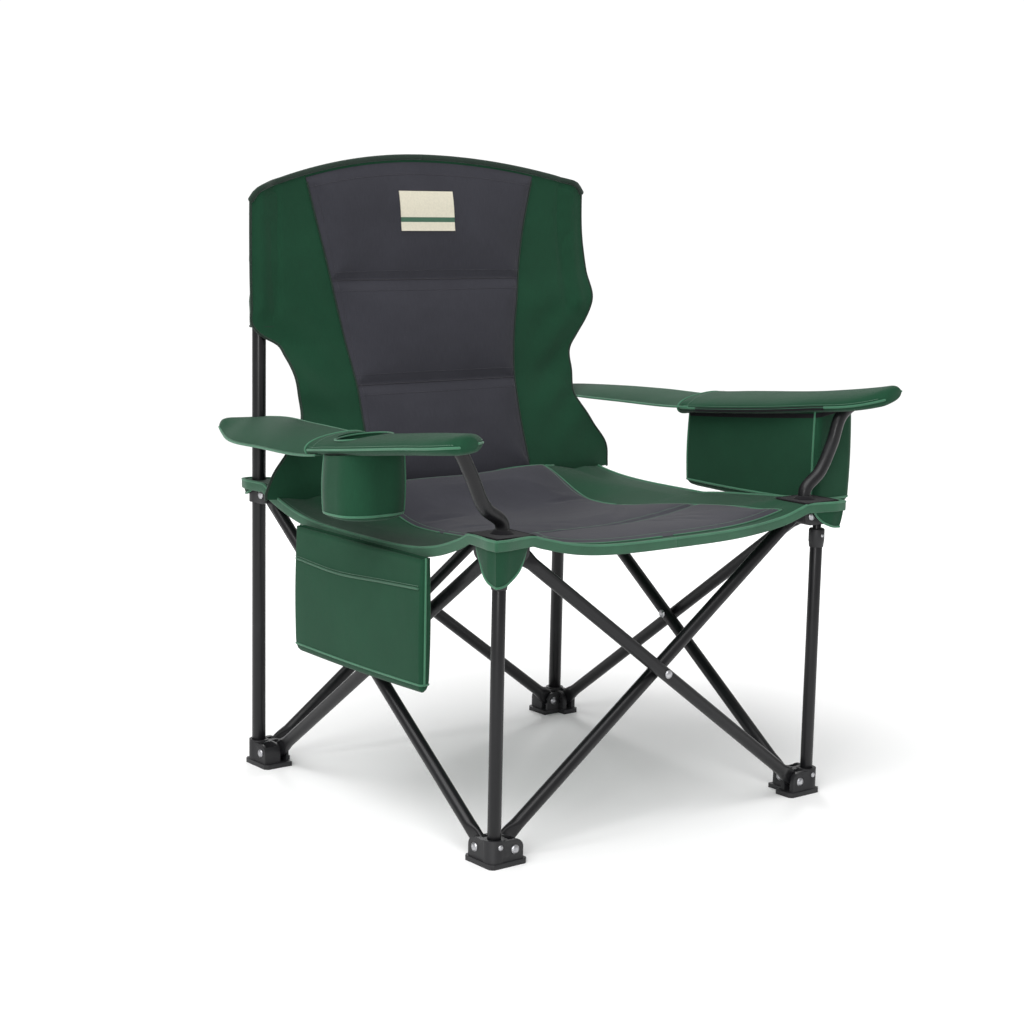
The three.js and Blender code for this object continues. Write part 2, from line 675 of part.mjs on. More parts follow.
function cupHolder() {
  const walls = (inset, bottom, top) => {
    const shape = roundedSquare(CUP_HALF - inset, CUP_CORNER - inset);
    const geometry = new THREE.ExtrudeGeometry(shape, { depth: top - bottom, bevelEnabled: false, curveSegments: 5 });
    return toSolid(geometry.translate(...CUP_CENTRE, bottom));
  };
  return cut(walls(0, CUP_BOTTOM, CUP_TOP), walls(CUP_WALL, CUP_BOTTOM + CUP_WALL, CUP_TOP + 10));
}

add('cup_holder', cupHolder(), GREEN_FABRIC);

// A box bag open at its top
function openBag({ x, y, z, wall }) {
  const inside = block([x[0] + wall, x[1] - wall], [y[0] + wall, y[1] - wall], [z[0] + wall, z[1] + 10]);
  return cut(block(x, y, z), inside);
}

add('cooler_bag', openBag(COOLER), GREEN_FABRIC);
add('magazine_pocket', openBag(MAGAZINE), GREEN_FABRIC);

export default chair;
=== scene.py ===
"""Folding camp chair: its finished surfaces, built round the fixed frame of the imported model.

Metres, +Z up. The chair faces -Y, and -X is its left-hand side as seen from the front.
"""
import json
import math
from functools import partial

import bmesh
import bpy
import numpy as np
from mathutils import Matrix, Vector

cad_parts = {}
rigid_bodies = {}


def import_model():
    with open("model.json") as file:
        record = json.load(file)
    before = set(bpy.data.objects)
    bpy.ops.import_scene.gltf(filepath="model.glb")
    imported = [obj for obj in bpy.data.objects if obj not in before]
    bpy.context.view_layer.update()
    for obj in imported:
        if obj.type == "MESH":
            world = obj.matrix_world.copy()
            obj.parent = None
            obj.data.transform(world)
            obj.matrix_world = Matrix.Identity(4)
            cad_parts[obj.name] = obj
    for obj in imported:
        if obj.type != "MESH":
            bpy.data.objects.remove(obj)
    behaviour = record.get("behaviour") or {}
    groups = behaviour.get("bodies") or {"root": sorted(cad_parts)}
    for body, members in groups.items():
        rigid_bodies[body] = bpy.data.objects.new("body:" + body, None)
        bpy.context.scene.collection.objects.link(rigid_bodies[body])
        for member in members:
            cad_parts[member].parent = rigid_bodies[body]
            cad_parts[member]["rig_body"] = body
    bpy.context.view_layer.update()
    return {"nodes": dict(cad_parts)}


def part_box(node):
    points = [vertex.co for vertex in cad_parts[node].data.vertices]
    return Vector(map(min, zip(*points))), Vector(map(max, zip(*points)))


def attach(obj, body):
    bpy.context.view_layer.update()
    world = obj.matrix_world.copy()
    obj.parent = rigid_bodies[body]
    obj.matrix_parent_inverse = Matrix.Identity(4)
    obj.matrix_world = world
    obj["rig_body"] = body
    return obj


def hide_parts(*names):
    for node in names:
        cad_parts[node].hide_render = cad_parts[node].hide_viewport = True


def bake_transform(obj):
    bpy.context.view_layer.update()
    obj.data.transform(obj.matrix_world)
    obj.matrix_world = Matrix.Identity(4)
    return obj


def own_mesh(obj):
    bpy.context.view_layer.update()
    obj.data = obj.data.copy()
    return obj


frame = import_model()

MM = 0.001


def centre(node):
    low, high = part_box(node)
    return (low + high) / 2


def half_size(node):
    low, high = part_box(node)
    return (high - low) / 2


# Driving sizes, read from the frame
SPAN = abs(centre("post_rear_left").x)
POST_RADIUS = half_size("post_rear_left").x
LEG_RADIUS = half_size("leg_front_left").x
ROD_RADIUS = half_size("rod_front_left").x
FOOT_PIVOT = centre("rivet_foot_front_left_deep")
HUB_PIVOT = centre("rivet_hub_front_left_deep")
PIVOT_INSET = FOOT_PIVOT.x + SPAN
INNER_OFFSET = centre("tube_front_inner").y + SPAN
CROSS_RADIUS = 9.5 * MM
ARM_RADIUS = 9.5 * MM
HUB_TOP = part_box("slider_rear_left")[1].z
BACK_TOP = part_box("back_left")[1].z
CORNERS = {"front_left": (-1, -1), "front_right": (1, -1), "rear_right": (1, 1), "rear_left": (-1, 1)}
SIDES = {"left": -1, "right": 1}
TUBE_SIDES = 40

# Small fittings, threads and trims
HEAD_RADIUS, HEAD_HEIGHT = 5.4 * MM, 2.2 * MM
FOOT_BOSS_RADIUS, FOOT_RIVET_LEVEL = 15 * MM, 29 * MM
STITCH_PITCH, THREAD_RADIUS = 3.6 * MM, 0.42 * MM
LABEL_WIDTH, LABEL_HEIGHT, LABEL_BOTTOM = 104 * MM, 62 * MM, 826 * MM
CUP_RADIUS = 40 * MM
CUP_CORNER = 38 * MM
SLEEVE_BOTTOM = 682 * MM

# The share of its width that each soft part keeps as the chair folds; no step of this script gathers a part
# with them
SEAT_KEEP, BACK_KEEP, ARM_KEEP, POCKET_KEEP = 0.2187, 0.2187, 0.4, 0.3


# ---------------------------------------------------------------- small numeric helpers

def smooth(low, high, value):
    t = np.clip((value - low) / (high - low), 0, 1)
    return t * t * (3 - 2 * t)


def mix(a, b, t):
    return a + (b - a) * t


def unit(vectors):
    return vectors / np.maximum(np.linalg.norm(vectors, axis=-1, keepdims=True), 1e-12)


def spline(table, key, column):
    """A smooth curve through one column of a table whose rows start with the key."""
    rows = np.array(table, float)
    keys, values = rows[:, 0], rows[:, column]
    slopes = np.gradient(values, keys)
    key = np.clip(key, keys[0], keys[-1])
    i = np.clip(np.searchsorted(keys, key, side="right") - 1, 0, len(keys) - 2)
    width = keys[i + 1] - keys[i]
    t = (key - keys[i]) / width
    return (
        (2 * t**3 - 3 * t**2 + 1) * values[i]
        + (t**3 - 2 * t**2 + t) * width * slopes[i]
        + (3 * t**2 - 2 * t**3) * values[i + 1]
        + (t**3 - t**2) * width * slopes[i + 1]
    )


def through(points, steps):
    """Points spaced evenly along a smooth line through a few points."""
    points = np.array(points, float)
    reach = np.concatenate([[0], np.cumsum(np.linalg.norm(np.diff(points, axis=0), axis=1))])
    table = np.column_stack([reach, points])
    at = np.linspace(0, reach[-1], steps)
    return np.column_stack([spline(table, at, column) for column in (1, 2, 3)])


def grid_normals(points):
    return unit(np.cross(np.gradient(points, axis=1), np.gradient(points, axis=0)))


def full_turn(sides):
    return np.linspace(0, 2 * math.pi, sides, endpoint=False)


def squared_ring(turn, power, wide, high):
    """Across and up along a ring: an ellipse at power 2, with fuller corners above that."""
    c, s = np.cos(turn), np.sin(turn)
    return np.sign(c) * np.abs(c) ** (2 / power) * wide, np.sign(s) * np.abs(s) ** (2 / power) * high


def hump(value, middle, reach):
    """A bell-shaped bump, 1 at its middle."""
    return np.exp(-(((value - middle) / reach) ** 2))


def placed(name, data):
    """A new object in the scene."""
    made = bpy.data.objects.new(name, data)
    bpy.context.scene.collection.objects.link(made)
    return made


def baked(piece):
    """Turns a piece's modifiers into its own plain mesh."""
    ready = piece.evaluated_get(bpy.context.evaluated_depsgraph_get())
    made = bpy.data.meshes.new_from_object(ready)
    piece.modifiers.clear()
    piece.data = made
    return made


def fill_socket(tree, node, key, value):
    """Sets or joins an input, named by its socket, or by the letter i and its number."""
    numbered = key[0] == "i" and key[1:].isdigit()
    socket = node.inputs[int(key[1:])] if numbered else node.inputs[key.replace("_", " ")]
    if isinstance(value, bpy.types.NodeSocket):
        tree.links.new(value, socket)
    else:
        socket.default_value = value


def add_node(tree, kind, settings=None, **inputs):
    made = tree.nodes.new(kind)
    for key, value in (settings or {}).items():
        setattr(made, key, value)
    for key, value in inputs.items():
        fill_socket(tree, made, key, value)
    return made


def doubled(grid):
    """The same surface with twice as many rows and columns, on a smooth cubic."""
    for axis in (0, 1):
        grid = np.moveaxis(grid, axis, 0)
        ends = np.concatenate([2 * grid[:1] - grid[1:2], grid, 2 * grid[-1:] - grid[-2:-1]])
        middle = (9 * (ends[1:-2] + ends[2:-1]) - ends[:-3] - ends[3:]) / 16
        out = np.empty((2 * len(grid) - 1, *grid.shape[1:]))
        out[0::2] = grid
        out[1::2] = middle
        grid = np.moveaxis(out, 0, axis)
    return grid


# ---------------------------------------------------------------- materials

def tone(red, green, blue):
    """A display colour as the linear values that a shader takes."""
    values = [v / 255 for v in (red, green, blue)]
    return (*[v / 12.92 if v <= 0.04045 else ((v + 0.055) / 1.055) ** 2.4 for v in values], 1)


class Shader:
    """A material's node tree, with short calls to add and join its nodes."""

    def __init__(self, name, colour, roughness):
        self.material = bpy.data.materials.new(name)
        self.material.use_nodes = True
        self.tree = self.material.node_tree
        self.surface = self.tree.nodes["Principled BSDF"]
        self.surface.inputs["Base Color"].default_value = colour
        self.surface.inputs["Roughness"].default_value = roughness
        self.material.diffuse_color = colour

    def node(self, kind, settings=None, **inputs):
        return add_node(self.tree, kind, settings, **inputs)

    def math(self, operation, a, b=0.0):
        return self.node("ShaderNodeMath", {"operation": operation}, i0=a, i1=b).outputs[0]

    def wave(self, along, pitch):
        """A sine along one coordinate, once every pitch."""
        return self.math("SINE", self.math("MULTIPLY", along, 2 * math.pi / pitch))

    def product(self, colour, amount):
        return self.node("ShaderNodeVectorMath", {"operation": "MULTIPLY"}, i0=colour, i1=amount).outputs[0]

    def noise(self, where, scale, detail=3.0):
        return self.node("ShaderNodeTexNoise", Vector=where, Scale=scale, Detail=detail).outputs["Fac"]

    def ramp(self, value, stops):
        made = self.node("ShaderNodeValToRGB", Fac=value)
        while len(made.color_ramp.elements) < len(stops):
            made.color_ramp.elements.new(0.5)
        for element, (place, colour) in zip(made.color_ramp.elements, stops):
            element.position = place
            element.color = colour
        return made.outputs["Color"]

    def level(self, value, low, high):
        return self.node("ShaderNodeMapRange", Value=value, To_Min=low, To_Max=high).outputs["Result"]

    def bump(self, height, strength, distance, under=None):
        below = {} if under is None else {"Normal": under}
        made = self.node("ShaderNodeBump", Height=height, Strength=strength, Distance=distance, **below)
        return made.outputs["Normal"]

    def place(self, kind):
        return self.node("ShaderNodeTexCoord").outputs[kind]

    def threads(self):
        """Cloth coordinates, whole and split into across and along."""
        uv = self.place("UV")
        split = self.node("ShaderNodeSeparateXYZ", Vector=uv)
        return uv, split.outputs["X"], split.outputs["Y"]

    def finish(self, **inputs):
        for key, value in inputs.items():
            fill_socket(self.tree, self.surface, key, value)
        return self.material


def shade(colour, amount):
    return (*[min(1.0, c * amount) for c in colour[:3]], 1)


def cloth(name, colour, pitch=0.9 * MM, sheen=0.25, slub=0.5, rough=0.88):
    """Plain-woven cloth: threads over and under, thread-to-thread slubs and a broad uneven dye."""
    s = Shader(name, colour, rough)
    uv, across, along = s.threads()
    weft, warp = s.wave(across, 2 * pitch), s.wave(along, 2 * pitch)
    weave = s.math("ADD", s.math("MULTIPLY", s.math("MULTIPLY", weft, warp), 0.5), 0.5)
    stretch = s.node("ShaderNodeMapping", Vector=uv, Scale=(900, 60, 1))
    threads = s.noise(stretch.outputs["Vector"], 1.0, 2.0)
    dye, crease = s.noise(s.place("Object"), 9.0, 4.0), s.noise(s.place("Object"), 34.0, 3.0)
    tint = s.ramp(dye, [(0.25, shade(colour, 0.86)), (0.55, colour), (0.8, shade(colour, 1.14))])
    woven = s.level(weave, 1 - 0.22 * slub, 1 + 0.12 * slub)
    streak = s.level(threads, 1 - 0.35 * slub, 1 + 0.35 * slub)
    return s.finish(
        Base_Color=s.product(tint, s.math("MULTIPLY", woven, streak)),
        Roughness=s.level(threads, rough - 0.08, rough + 0.06),
        Normal=s.bump(weave, 0.55, 0.35 * MM, s.bump(crease, 0.12, 4 * MM)),
        Sheen_Weight=sheen, Sheen_Roughness=0.45, Specular_IOR_Level=0.16)


def binding_tape(name, colour):
    """Grosgrain edge tape: fine ribs across its run."""
    s = Shader(name, colour, 0.7)
    tint = s.ramp(s.noise(s.place("Object"), 22.0), [(0.3, shade(colour, 0.86)), (0.7, shade(colour, 1.12))])
    ribs = s.wave(s.threads()[2], 1.3 * MM)
    return s.finish(Base_Color=tint, Normal=s.bump(ribs, 0.45, 0.25 * MM),
                    Sheen_Weight=0.2, Specular_IOR_Level=0.3)


def powder_coat(name, colour):
    """Baked powder on steel tube: a fine orange peel with a few rubbed places."""
    s = Shader(name, colour, 0.36)
    peel, rub = s.noise(s.place("Object"), 520.0, 2.0), s.noise(s.place("Object"), 26.0, 6.0)
    tint = s.ramp(rub, [(0.35, colour), (0.62, shade(colour, 1.25)), (0.75, shade(colour, 1.9))])
    return s.finish(Base_Color=tint, Roughness=s.level(rub, 0.28, 0.46), Normal=s.bump(peel, 0.18, 0.2 * MM),
                    Specular_IOR_Level=0.3, Coat_Weight=0.12, Coat_Roughness=0.18)


def moulded_plastic(name, colour):
    """Injection-moulded nylon: a satin spark-eroded grain."""
    s = Shader(name, colour, 0.5)
    grain, flow = s.noise(s.place("Object"), 1400.0, 2.0), s.noise(s.place("Object"), 40.0)
    tint = s.ramp(flow, [(0.3, colour), (0.75, shade(colour, 1.5))])
    return s.finish(Base_Color=tint, Roughness=s.level(flow, 0.42, 0.6), Normal=s.bump(grain, 0.3, 0.12 * MM),
                    Specular_IOR_Level=0.45)


def rivet_steel(name):
    """Zinc-plated steel, a little clouded."""
    s = Shader(name, tone(196, 197, 200), 0.3)
    cloud = s.noise(s.place("Object"), 260.0, 4.0)
    tint = s.ramp(cloud, [(0.3, tone(150, 151, 156)), (0.7, tone(208, 208, 210))])
    return s.finish(Base_Color=tint, Metallic=0.95,
                    Roughness=s.level(cloud, 0.22, 0.42), Normal=s.bump(cloud, 0.1, 0.2 * MM))


def woven_label(name):
    """Cream damask tab with one green band."""
    colour = tone(232, 226, 205)
    s = Shader(name, colour, 0.8)
    _, across, along = s.threads()
    band = s.ramp(s.math("DIVIDE", along, LABEL_HEIGHT), [
        (0.0, colour), (0.22, tone(60, 104, 80)), (0.34, colour), (1.0, colour)])
    band.node.color_ramp.interpolation = "CONSTANT"
    twill = s.math("MULTIPLY", s.wave(across, 0.9 * MM), s.wave(along, 0.7 * MM))
    fleck = s.level(s.noise(s.place("Object"), 300.0, 2.0), 0.88, 1.08)
    return s.finish(Base_Color=s.product(band, fleck), Normal=s.bump(twill, 0.4, 0.3 * MM), Sheen_Weight=0.2)


GREEN = cloth("green_oxford", tone(26, 68, 47), sheen=0.1)
GREY = cloth("grey_padded_oxford", tone(58, 58, 65), pitch=1.1 * MM, sheen=0.12, slub=0.6)
WEBBING = cloth("black_reinforcement", tone(26, 25, 28), pitch=1.6 * MM, sheen=0.1)
PIPING = binding_tape("light_green_piping", tone(58, 112, 84))
HEM_TAPE = binding_tape("green_hem_tape", tone(38, 88, 62))
DARK_TAPE = binding_tape("dark_green_binding", tone(18, 42, 30))
SEAM_TAPE = binding_tape("grey_seam_tape", tone(44, 42, 50))
THREAD = binding_tape("sewing_thread", tone(96, 130, 110))
GREY_THREAD = binding_tape("grey_sewing_thread", tone(58, 56, 64))
TUBE_PAINT = powder_coat("powder_coated_tube", tone(17, 17, 19))
PLASTIC = moulded_plastic("black_nylon", tone(24, 24, 26))
STEEL = rivet_steel("plated_rivet")
LABEL = woven_label("woven_label")


# ---------------------------------------------------------------- mesh building

class Piece:
    """Closed shells gathered into one object. Each shell has a material and cloth coordinates in metres."""

    def __init__(self, name):
        self.name = name
        self.points = []
        self.normals = []
        self.faces = []
        self.coords = []
        self.marks = []
        self.finishes = []
        self.count = 0
        self.shaped = False

    def add(self, points, faces, coords, finish, normals=None):
        """Adds a shell. faces is a list of index arrays, and coords their corners' cloth coordinates."""
        points = np.asarray(points, float)
        volume = 0.0
        for block in faces:
            corners = points[block]
            for last in range(2, block.shape[1]):
                a, b, c = corners[:, 0], corners[:, last - 1], corners[:, last]
                volume += float((a * np.cross(b, c)).sum())
        if volume < 0:
            faces = [block[:, ::-1] for block in faces]
            coords = [block[:, ::-1] for block in coords]
        if finish not in self.finishes:
            self.finishes.append(finish)
        self.points.append(points)
        self.shaped = self.shaped or normals is not None
        self.normals.append(np.zeros_like(points) if normals is None else normals)
        for block, corner in zip(faces, coords):
            self.faces.extend((block + self.count).tolist())
            self.coords.append(corner.reshape(-1, 2))
            self.marks.extend([self.finishes.index(finish)] * len(block))
        self.count += len(points)

    def build(self, sharp=None):
        mesh = bpy.data.meshes.new(self.name)
        points = np.concatenate(self.points)
        mesh.from_pydata(points.tolist(), [], self.faces)
        layer = mesh.uv_layers.new(name="cloth")
        layer.data.foreach_set("uv", np.concatenate(self.coords).astype(np.float32).ravel())
        for finish in self.finishes:
            mesh.materials.append(finish)
        mesh.polygons.foreach_set("material_index", self.marks)
        mesh.polygons.foreach_set("use_smooth", [True] * len(mesh.polygons))
        mesh.update()
        if sharp is not None:
            mesh.set_sharp_from_angle(angle=math.radians(sharp))
        if self.shaped:
            mesh.normals_split_custom_set_from_vertices(np.concatenate(self.normals).tolist())
        return placed(self.name, mesh)


def lengths(points):
    """Cloth coordinates of a grid of points: distance along its rows and its columns."""
    across = np.linalg.norm(np.diff(points, axis=1), axis=2)
    along = np.linalg.norm(np.diff(points, axis=0), axis=2)
    u = np.concatenate([np.zeros((len(points), 1)), np.cumsum(across, axis=1)], axis=1)
    v = np.concatenate([[0], np.cumsum(along.mean(axis=1))])
    u = u - u[:, u.shape[1] // 2][:, None]
    return np.stack([u, np.repeat(v[:, None], u.shape[1], axis=1)], axis=-1)


def add_slab(piece, front, back, finish, coords=None, normals=None):
    """A closed slab between two grids of points, with a rim all round."""
    rows, columns = front.shape[:2]
    count = rows * columns
    coords = lengths(front) if coords is None else coords
    r, c = np.meshgrid(np.arange(rows - 1), np.arange(columns - 1), indexing="ij")
    corner = [(r, c), (r, c + 1), (r + 1, c + 1), (r + 1, c)]
    faces = np.stack([a * columns + b for a, b in corner], -1).reshape(-1, 4)
    sides = np.stack([coords[a, b] for a, b in corner], -2).reshape(-1, 4, 2)
    rim = np.concatenate([
        np.arange(columns),
        np.arange(1, rows) * columns + columns - 1,
        (rows - 1) * columns + np.arange(columns - 2, -1, -1),
        np.arange(rows - 2, 0, -1) * columns,
    ])
    after = np.roll(rim, -1)
    edge = np.stack([rim + count, after + count, after, rim], -1)
    flat = coords.reshape(-1, 2)
    rim_coords = np.stack([flat[rim], flat[after], flat[after], flat[rim]], -2)
    points = np.concatenate([front.reshape(-1, 3), back.reshape(-1, 3)])
    both = None
    if normals is not None:
        both = np.concatenate([normals.reshape(-1, 3), -normals.reshape(-1, 3)])
    blocks = [faces, faces[:, ::-1] + count, edge]
    piece.add(points, blocks, [sides, sides[:, ::-1], rim_coords], finish, both)


def add_rings(piece, rings, finish, loop=False):
    """A skin through closed rings of equal point count. Its ends are closed by a point, or it loops back."""
    rings = np.asarray(rings, float)
    rows, sides = rings.shape[:2]
    wrapped = np.concatenate([rings, rings[:, :1]], axis=1)
    coords = lengths(wrapped)
    used = rows if loop else rows - 1
    r, c = np.meshgrid(np.arange(used), np.arange(sides), indexing="ij")
    after, turn = (r + 1) % rows, (c + 1) % sides
    faces = np.stack([r * sides + c, r * sides + turn, after * sides + turn, after * sides + c], -1)
    corners = np.stack([coords[r, c], coords[r, c + 1], coords[after, c + 1], coords[after, c]], -2)
    points = rings.reshape(-1, 3)
    blocks, marks = [faces.reshape(-1, 4)], [corners.reshape(-1, 4, 2)]
    if not loop:
        caps = np.stack([rings[0].mean(axis=0), rings[-1].mean(axis=0)])
        index = np.arange(sides)
        turned = (index + 1) % sides
        hub, bottom = np.full(sides, rows * sides), (rows - 1) * sides
        first = np.stack([hub, turned, index], -1)
        last = np.stack([hub + 1, bottom + index, bottom + turned], -1)
        points = np.concatenate([points, caps])
        blocks += [first, last]
        spin = np.stack([coords[0, index], coords[0, index + 1], coords[0, index]], -2)
        marks += [spin, np.stack([coords[-1, index], coords[-1, index], coords[-1, index + 1]], -2)]
    piece.add(points, blocks, marks, finish)


def frames_along(path, up):
    """Tangent, side and upright directions along a path."""
    tangent = unit(np.gradient(path, axis=0))
    up = np.broadcast_to(np.asarray(up, float), path.shape)
    side = unit(np.cross(tangent, up))
    return tangent, side, unit(np.cross(side, tangent))


def add_strip(piece, path, width, height, finish, up=(0, 0, 1), sides=12, power=2.0, dome=True):
    """A rounded strip or round piping swept along a path."""
    path = np.asarray(path, float)
    tangent, side, upright = frames_along(path, up)
    across, rise = squared_ring(full_turn(sides), power, width / 2, height / 2)
    ring = side[:, None] * across[None, :, None] + upright[:, None] * rise[None, :, None]
    rings = path[:, None] + ring
    if dome:
        small = min(width, height) / 2
        start = [path[0] - tangent[0] * small * d + ring[0] * k for k, d in ((0.35, 0.9), (0.8, 0.55))]
        end = [path[-1] + tangent[-1] * small * d + ring[-1] * k for k, d in ((0.8, 0.55), (0.35, 0.9))]
        rings = np.concatenate([start, rings, end])
    add_rings(piece, rings, finish)


def turned(profile, sides, origin, axis=(0, 0, 1)):
    """Rings of a profile of (radius, height) pairs turned round an axis."""
    turn = full_turn(sides)
    spin = np.array(Vector((0, 0, 1)).rotation_difference(Vector(axis)).to_matrix())
    rings = [np.column_stack([r * np.cos(turn), r * np.sin(turn), np.full(sides, z)]) for r, z in profile]
    return np.array(rings) @ spin.T + np.array(origin)


# ---------------------------------------------------------------- repeated shapes made by node trees

def new_tree(name, sizes):
    tree = bpy.data.node_groups.new(name, "GeometryNodeTree")
    sockets = [("Geometry", "Geometry"), *((size, "Float") for size in sizes), ("Finish", "Material")]
    for title, kind in sockets:
        tree.interface.new_socket(title, in_out="INPUT", socket_type=f"NodeSocket{kind}")
    tree.interface.new_socket("Geometry", in_out="OUTPUT", socket_type="NodeSocketGeometry")
    start = tree.nodes.new("NodeGroupInput")
    return tree, start.outputs, partial(add_node, tree)


def close_tree(tree, given, node, points, instance, direction):
    """Lays an instance on every point, facing a direction, and makes one painted mesh of them all."""
    aim = node("FunctionNodeAlignRotationToVector", Vector=direction)
    laid = node("GeometryNodeInstanceOnPoints", Points=points, Instance=instance, Rotation=aim.outputs[0])
    real = node("GeometryNodeRealizeInstances", Geometry=laid.outputs[0])
    smooth_all = node("GeometryNodeSetShadeSmooth", Geometry=real.outputs[0])
    painted = node("GeometryNodeSetMaterial", Geometry=smooth_all.outputs[0], Material=given["Finish"])
    node("NodeGroupOutput", Geometry=painted.outputs[0])
    return tree


def stitch_tree():
    """Stitches laid end to end along every line of the mesh that it is given."""
    tree, given, node = new_tree("stitch_row", ["Pitch", "Thread"])
    line = node("GeometryNodeMeshToCurve", Mesh=given["Geometry"])
    spaced = node("GeometryNodeResampleCurve", {"mode": "LENGTH"},
                  Curve=line.outputs[0], Length=given["Pitch"])
    bead = node("GeometryNodeMeshUVSphere", Segments=6, Rings=4, Radius=1.0)
    long = node("ShaderNodeMath", {"operation": "MULTIPLY"}, i0=given["Pitch"], i1=0.4)
    size = node("ShaderNodeCombineXYZ", X=given["Thread"], Y=given["Thread"], Z=long.outputs[0])
    shaped = node("GeometryNodeTransform", Geometry=bead.outputs["Mesh"], Scale=size.outputs[0])
    tangent = node("GeometryNodeInputTangent")
    return close_tree(tree, given, node, spaced.outputs[0], shaped.outputs[0], tangent.outputs[0])


def rivet_tree():
    """A domed head on a thin washer at every point, facing along the point's own axis."""
    tree, given, node = new_tree("rivet_heads", ["Radius", "Height"])
    ball = node("GeometryNodeMeshUVSphere", Segments=24, Rings=10, Radius=1.0)
    size = node("ShaderNodeCombineXYZ", X=given["Radius"], Y=given["Radius"], Z=given["Height"])
    head = node("GeometryNodeTransform", Geometry=ball.outputs["Mesh"], Scale=size.outputs[0])
    wide = node("ShaderNodeMath", {"operation": "MULTIPLY"}, i0=given["Radius"], i1=1.18)
    washer = node("GeometryNodeMeshCylinder", Vertices=28, Radius=wide.outputs[0], Depth=0.8 * MM)
    both = node("GeometryNodeJoinGeometry")
    tree.links.new(washer.outputs["Mesh"], both.inputs[0])
    tree.links.new(head.outputs[0], both.inputs[0])
    axis = node("GeometryNodeInputNamedAttribute", {"data_type": "FLOAT_VECTOR"}, Name="axis")
    return close_tree(tree, given, node, given["Geometry"], both.outputs[0], axis.outputs[0])


STITCH_TREE = stitch_tree()
RIVET_TREE = rivet_tree()


def grown(name, mesh, tree, finish, **sizes):
    """The plain mesh that a node tree makes from a mesh of points or lines."""
    source = placed(name, mesh)
    modifier = source.modifiers.new("grow", "NODES")
    modifier.node_group = tree
    given = {**sizes, "Finish": finish}
    for item in tree.interface.items_tree:
        if item.in_out == "INPUT" and item.name in given:
            modifier[item.identifier] = given[item.name]
    baked(source).name = name
    return source


def stitches(name, lines, finish=None):
    """One object holding a row of stitches along each line of points."""
    points = np.concatenate(lines)
    edges, start = [], 0
    for line in lines:
        edges += [(start + i, start + i + 1) for i in range(len(line) - 1)]
        start += len(line)
    mesh = bpy.data.meshes.new(name)
    mesh.from_pydata(points.tolist(), edges, [])
    return grown(name, mesh, STITCH_TREE, finish or THREAD, Pitch=STITCH_PITCH, Thread=THREAD_RADIUS)


def rivet_heads(name, heads, radius, height):
    """heads is a list of (place, outward axis)."""
    mesh = bpy.data.meshes.new(name)
    mesh.from_pydata([tuple(place) for place, _ in heads], [], [])
    axis = mesh.attributes.new("axis", "FLOAT_VECTOR", "POINT")
    axis.data.foreach_set("vector", [v for _, a in heads for v in a])
    return grown(name, mesh, RIVET_TREE, STEEL, Radius=radius, Height=height)


# ---------------------------------------------------------------- steel tubes

def pipe(name, x, y, radius, wall, bottom, top):
    lip = 0.5 * MM
    profile = [
        (radius - wall, bottom + lip), (radius - wall + lip / 2, bottom), (radius - lip / 2, bottom),
        (radius, bottom + lip), (radius, top - lip), (radius - lip / 2, top),
        (radius - wall + lip / 2, top), (radius - wall, top - lip),
    ]
    made = Piece(name)
    add_rings(made, turned(profile, TUBE_SIDES, (x, y, 0)), TUBE_PAINT, loop=True)
    return made.build(sharp=50)


def uprights():
    """The rear posts, and the front legs with their rods and collars."""
    post = ("post", POST_RADIUS, 1.2, "stand")
    leg, rod = ("leg", LEG_RADIUS, 1.0, "stand"), ("rod", ROD_RADIUS, 1.0, "hub")
    for corner, (sx, sy) in CORNERS.items():
        x, y = sx * SPAN, sy * SPAN
        for kind, radius, wall, body in (post,) if sy > 0 else (leg, rod):
            low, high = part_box(f"{kind}_{corner}")
            made = pipe(f"steel_{kind}_{corner}", x, y, radius, wall * MM, low.z, high.z)
            dress(made, f"{corner}_{body}", "frame_metal", f"{kind}_{corner}")
        if sy < 0:
            node = f"collar_{corner}"
            low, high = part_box(node)
            dress(collar(f"leg_{node}", x, y, low.z, high.z), f"{corner}_stand", "black_plastic", node)


def collar(name, x, y, bottom, top):
    outer = half_size("collar_front_left").x
    grip = LEG_RADIUS + 0.2 * MM
    throat = ROD_RADIUS + 0.3 * MM
    seat = top - 3.7 * MM
    profile = [
        (grip, bottom), (outer - 1.6 * MM, bottom), (outer - 1.1 * MM, bottom + 0.5 * MM),
        (outer - 0.4 * MM, bottom + 8 * MM), (outer, bottom + 9 * MM), (outer, top - 2 * MM),
        (outer - 0.7 * MM, top - 0.7 * MM), (outer - 2 * MM, top), (throat + 0.5 * MM, top),
        (throat, top - 0.5 * MM), (throat, seat), (grip, seat),
    ]
    made = Piece(name)
    add_rings(made, turned(profile, TUBE_SIDES, (x, y, 0)), PLASTIC, loop=True)
    return made.build(sharp=40)


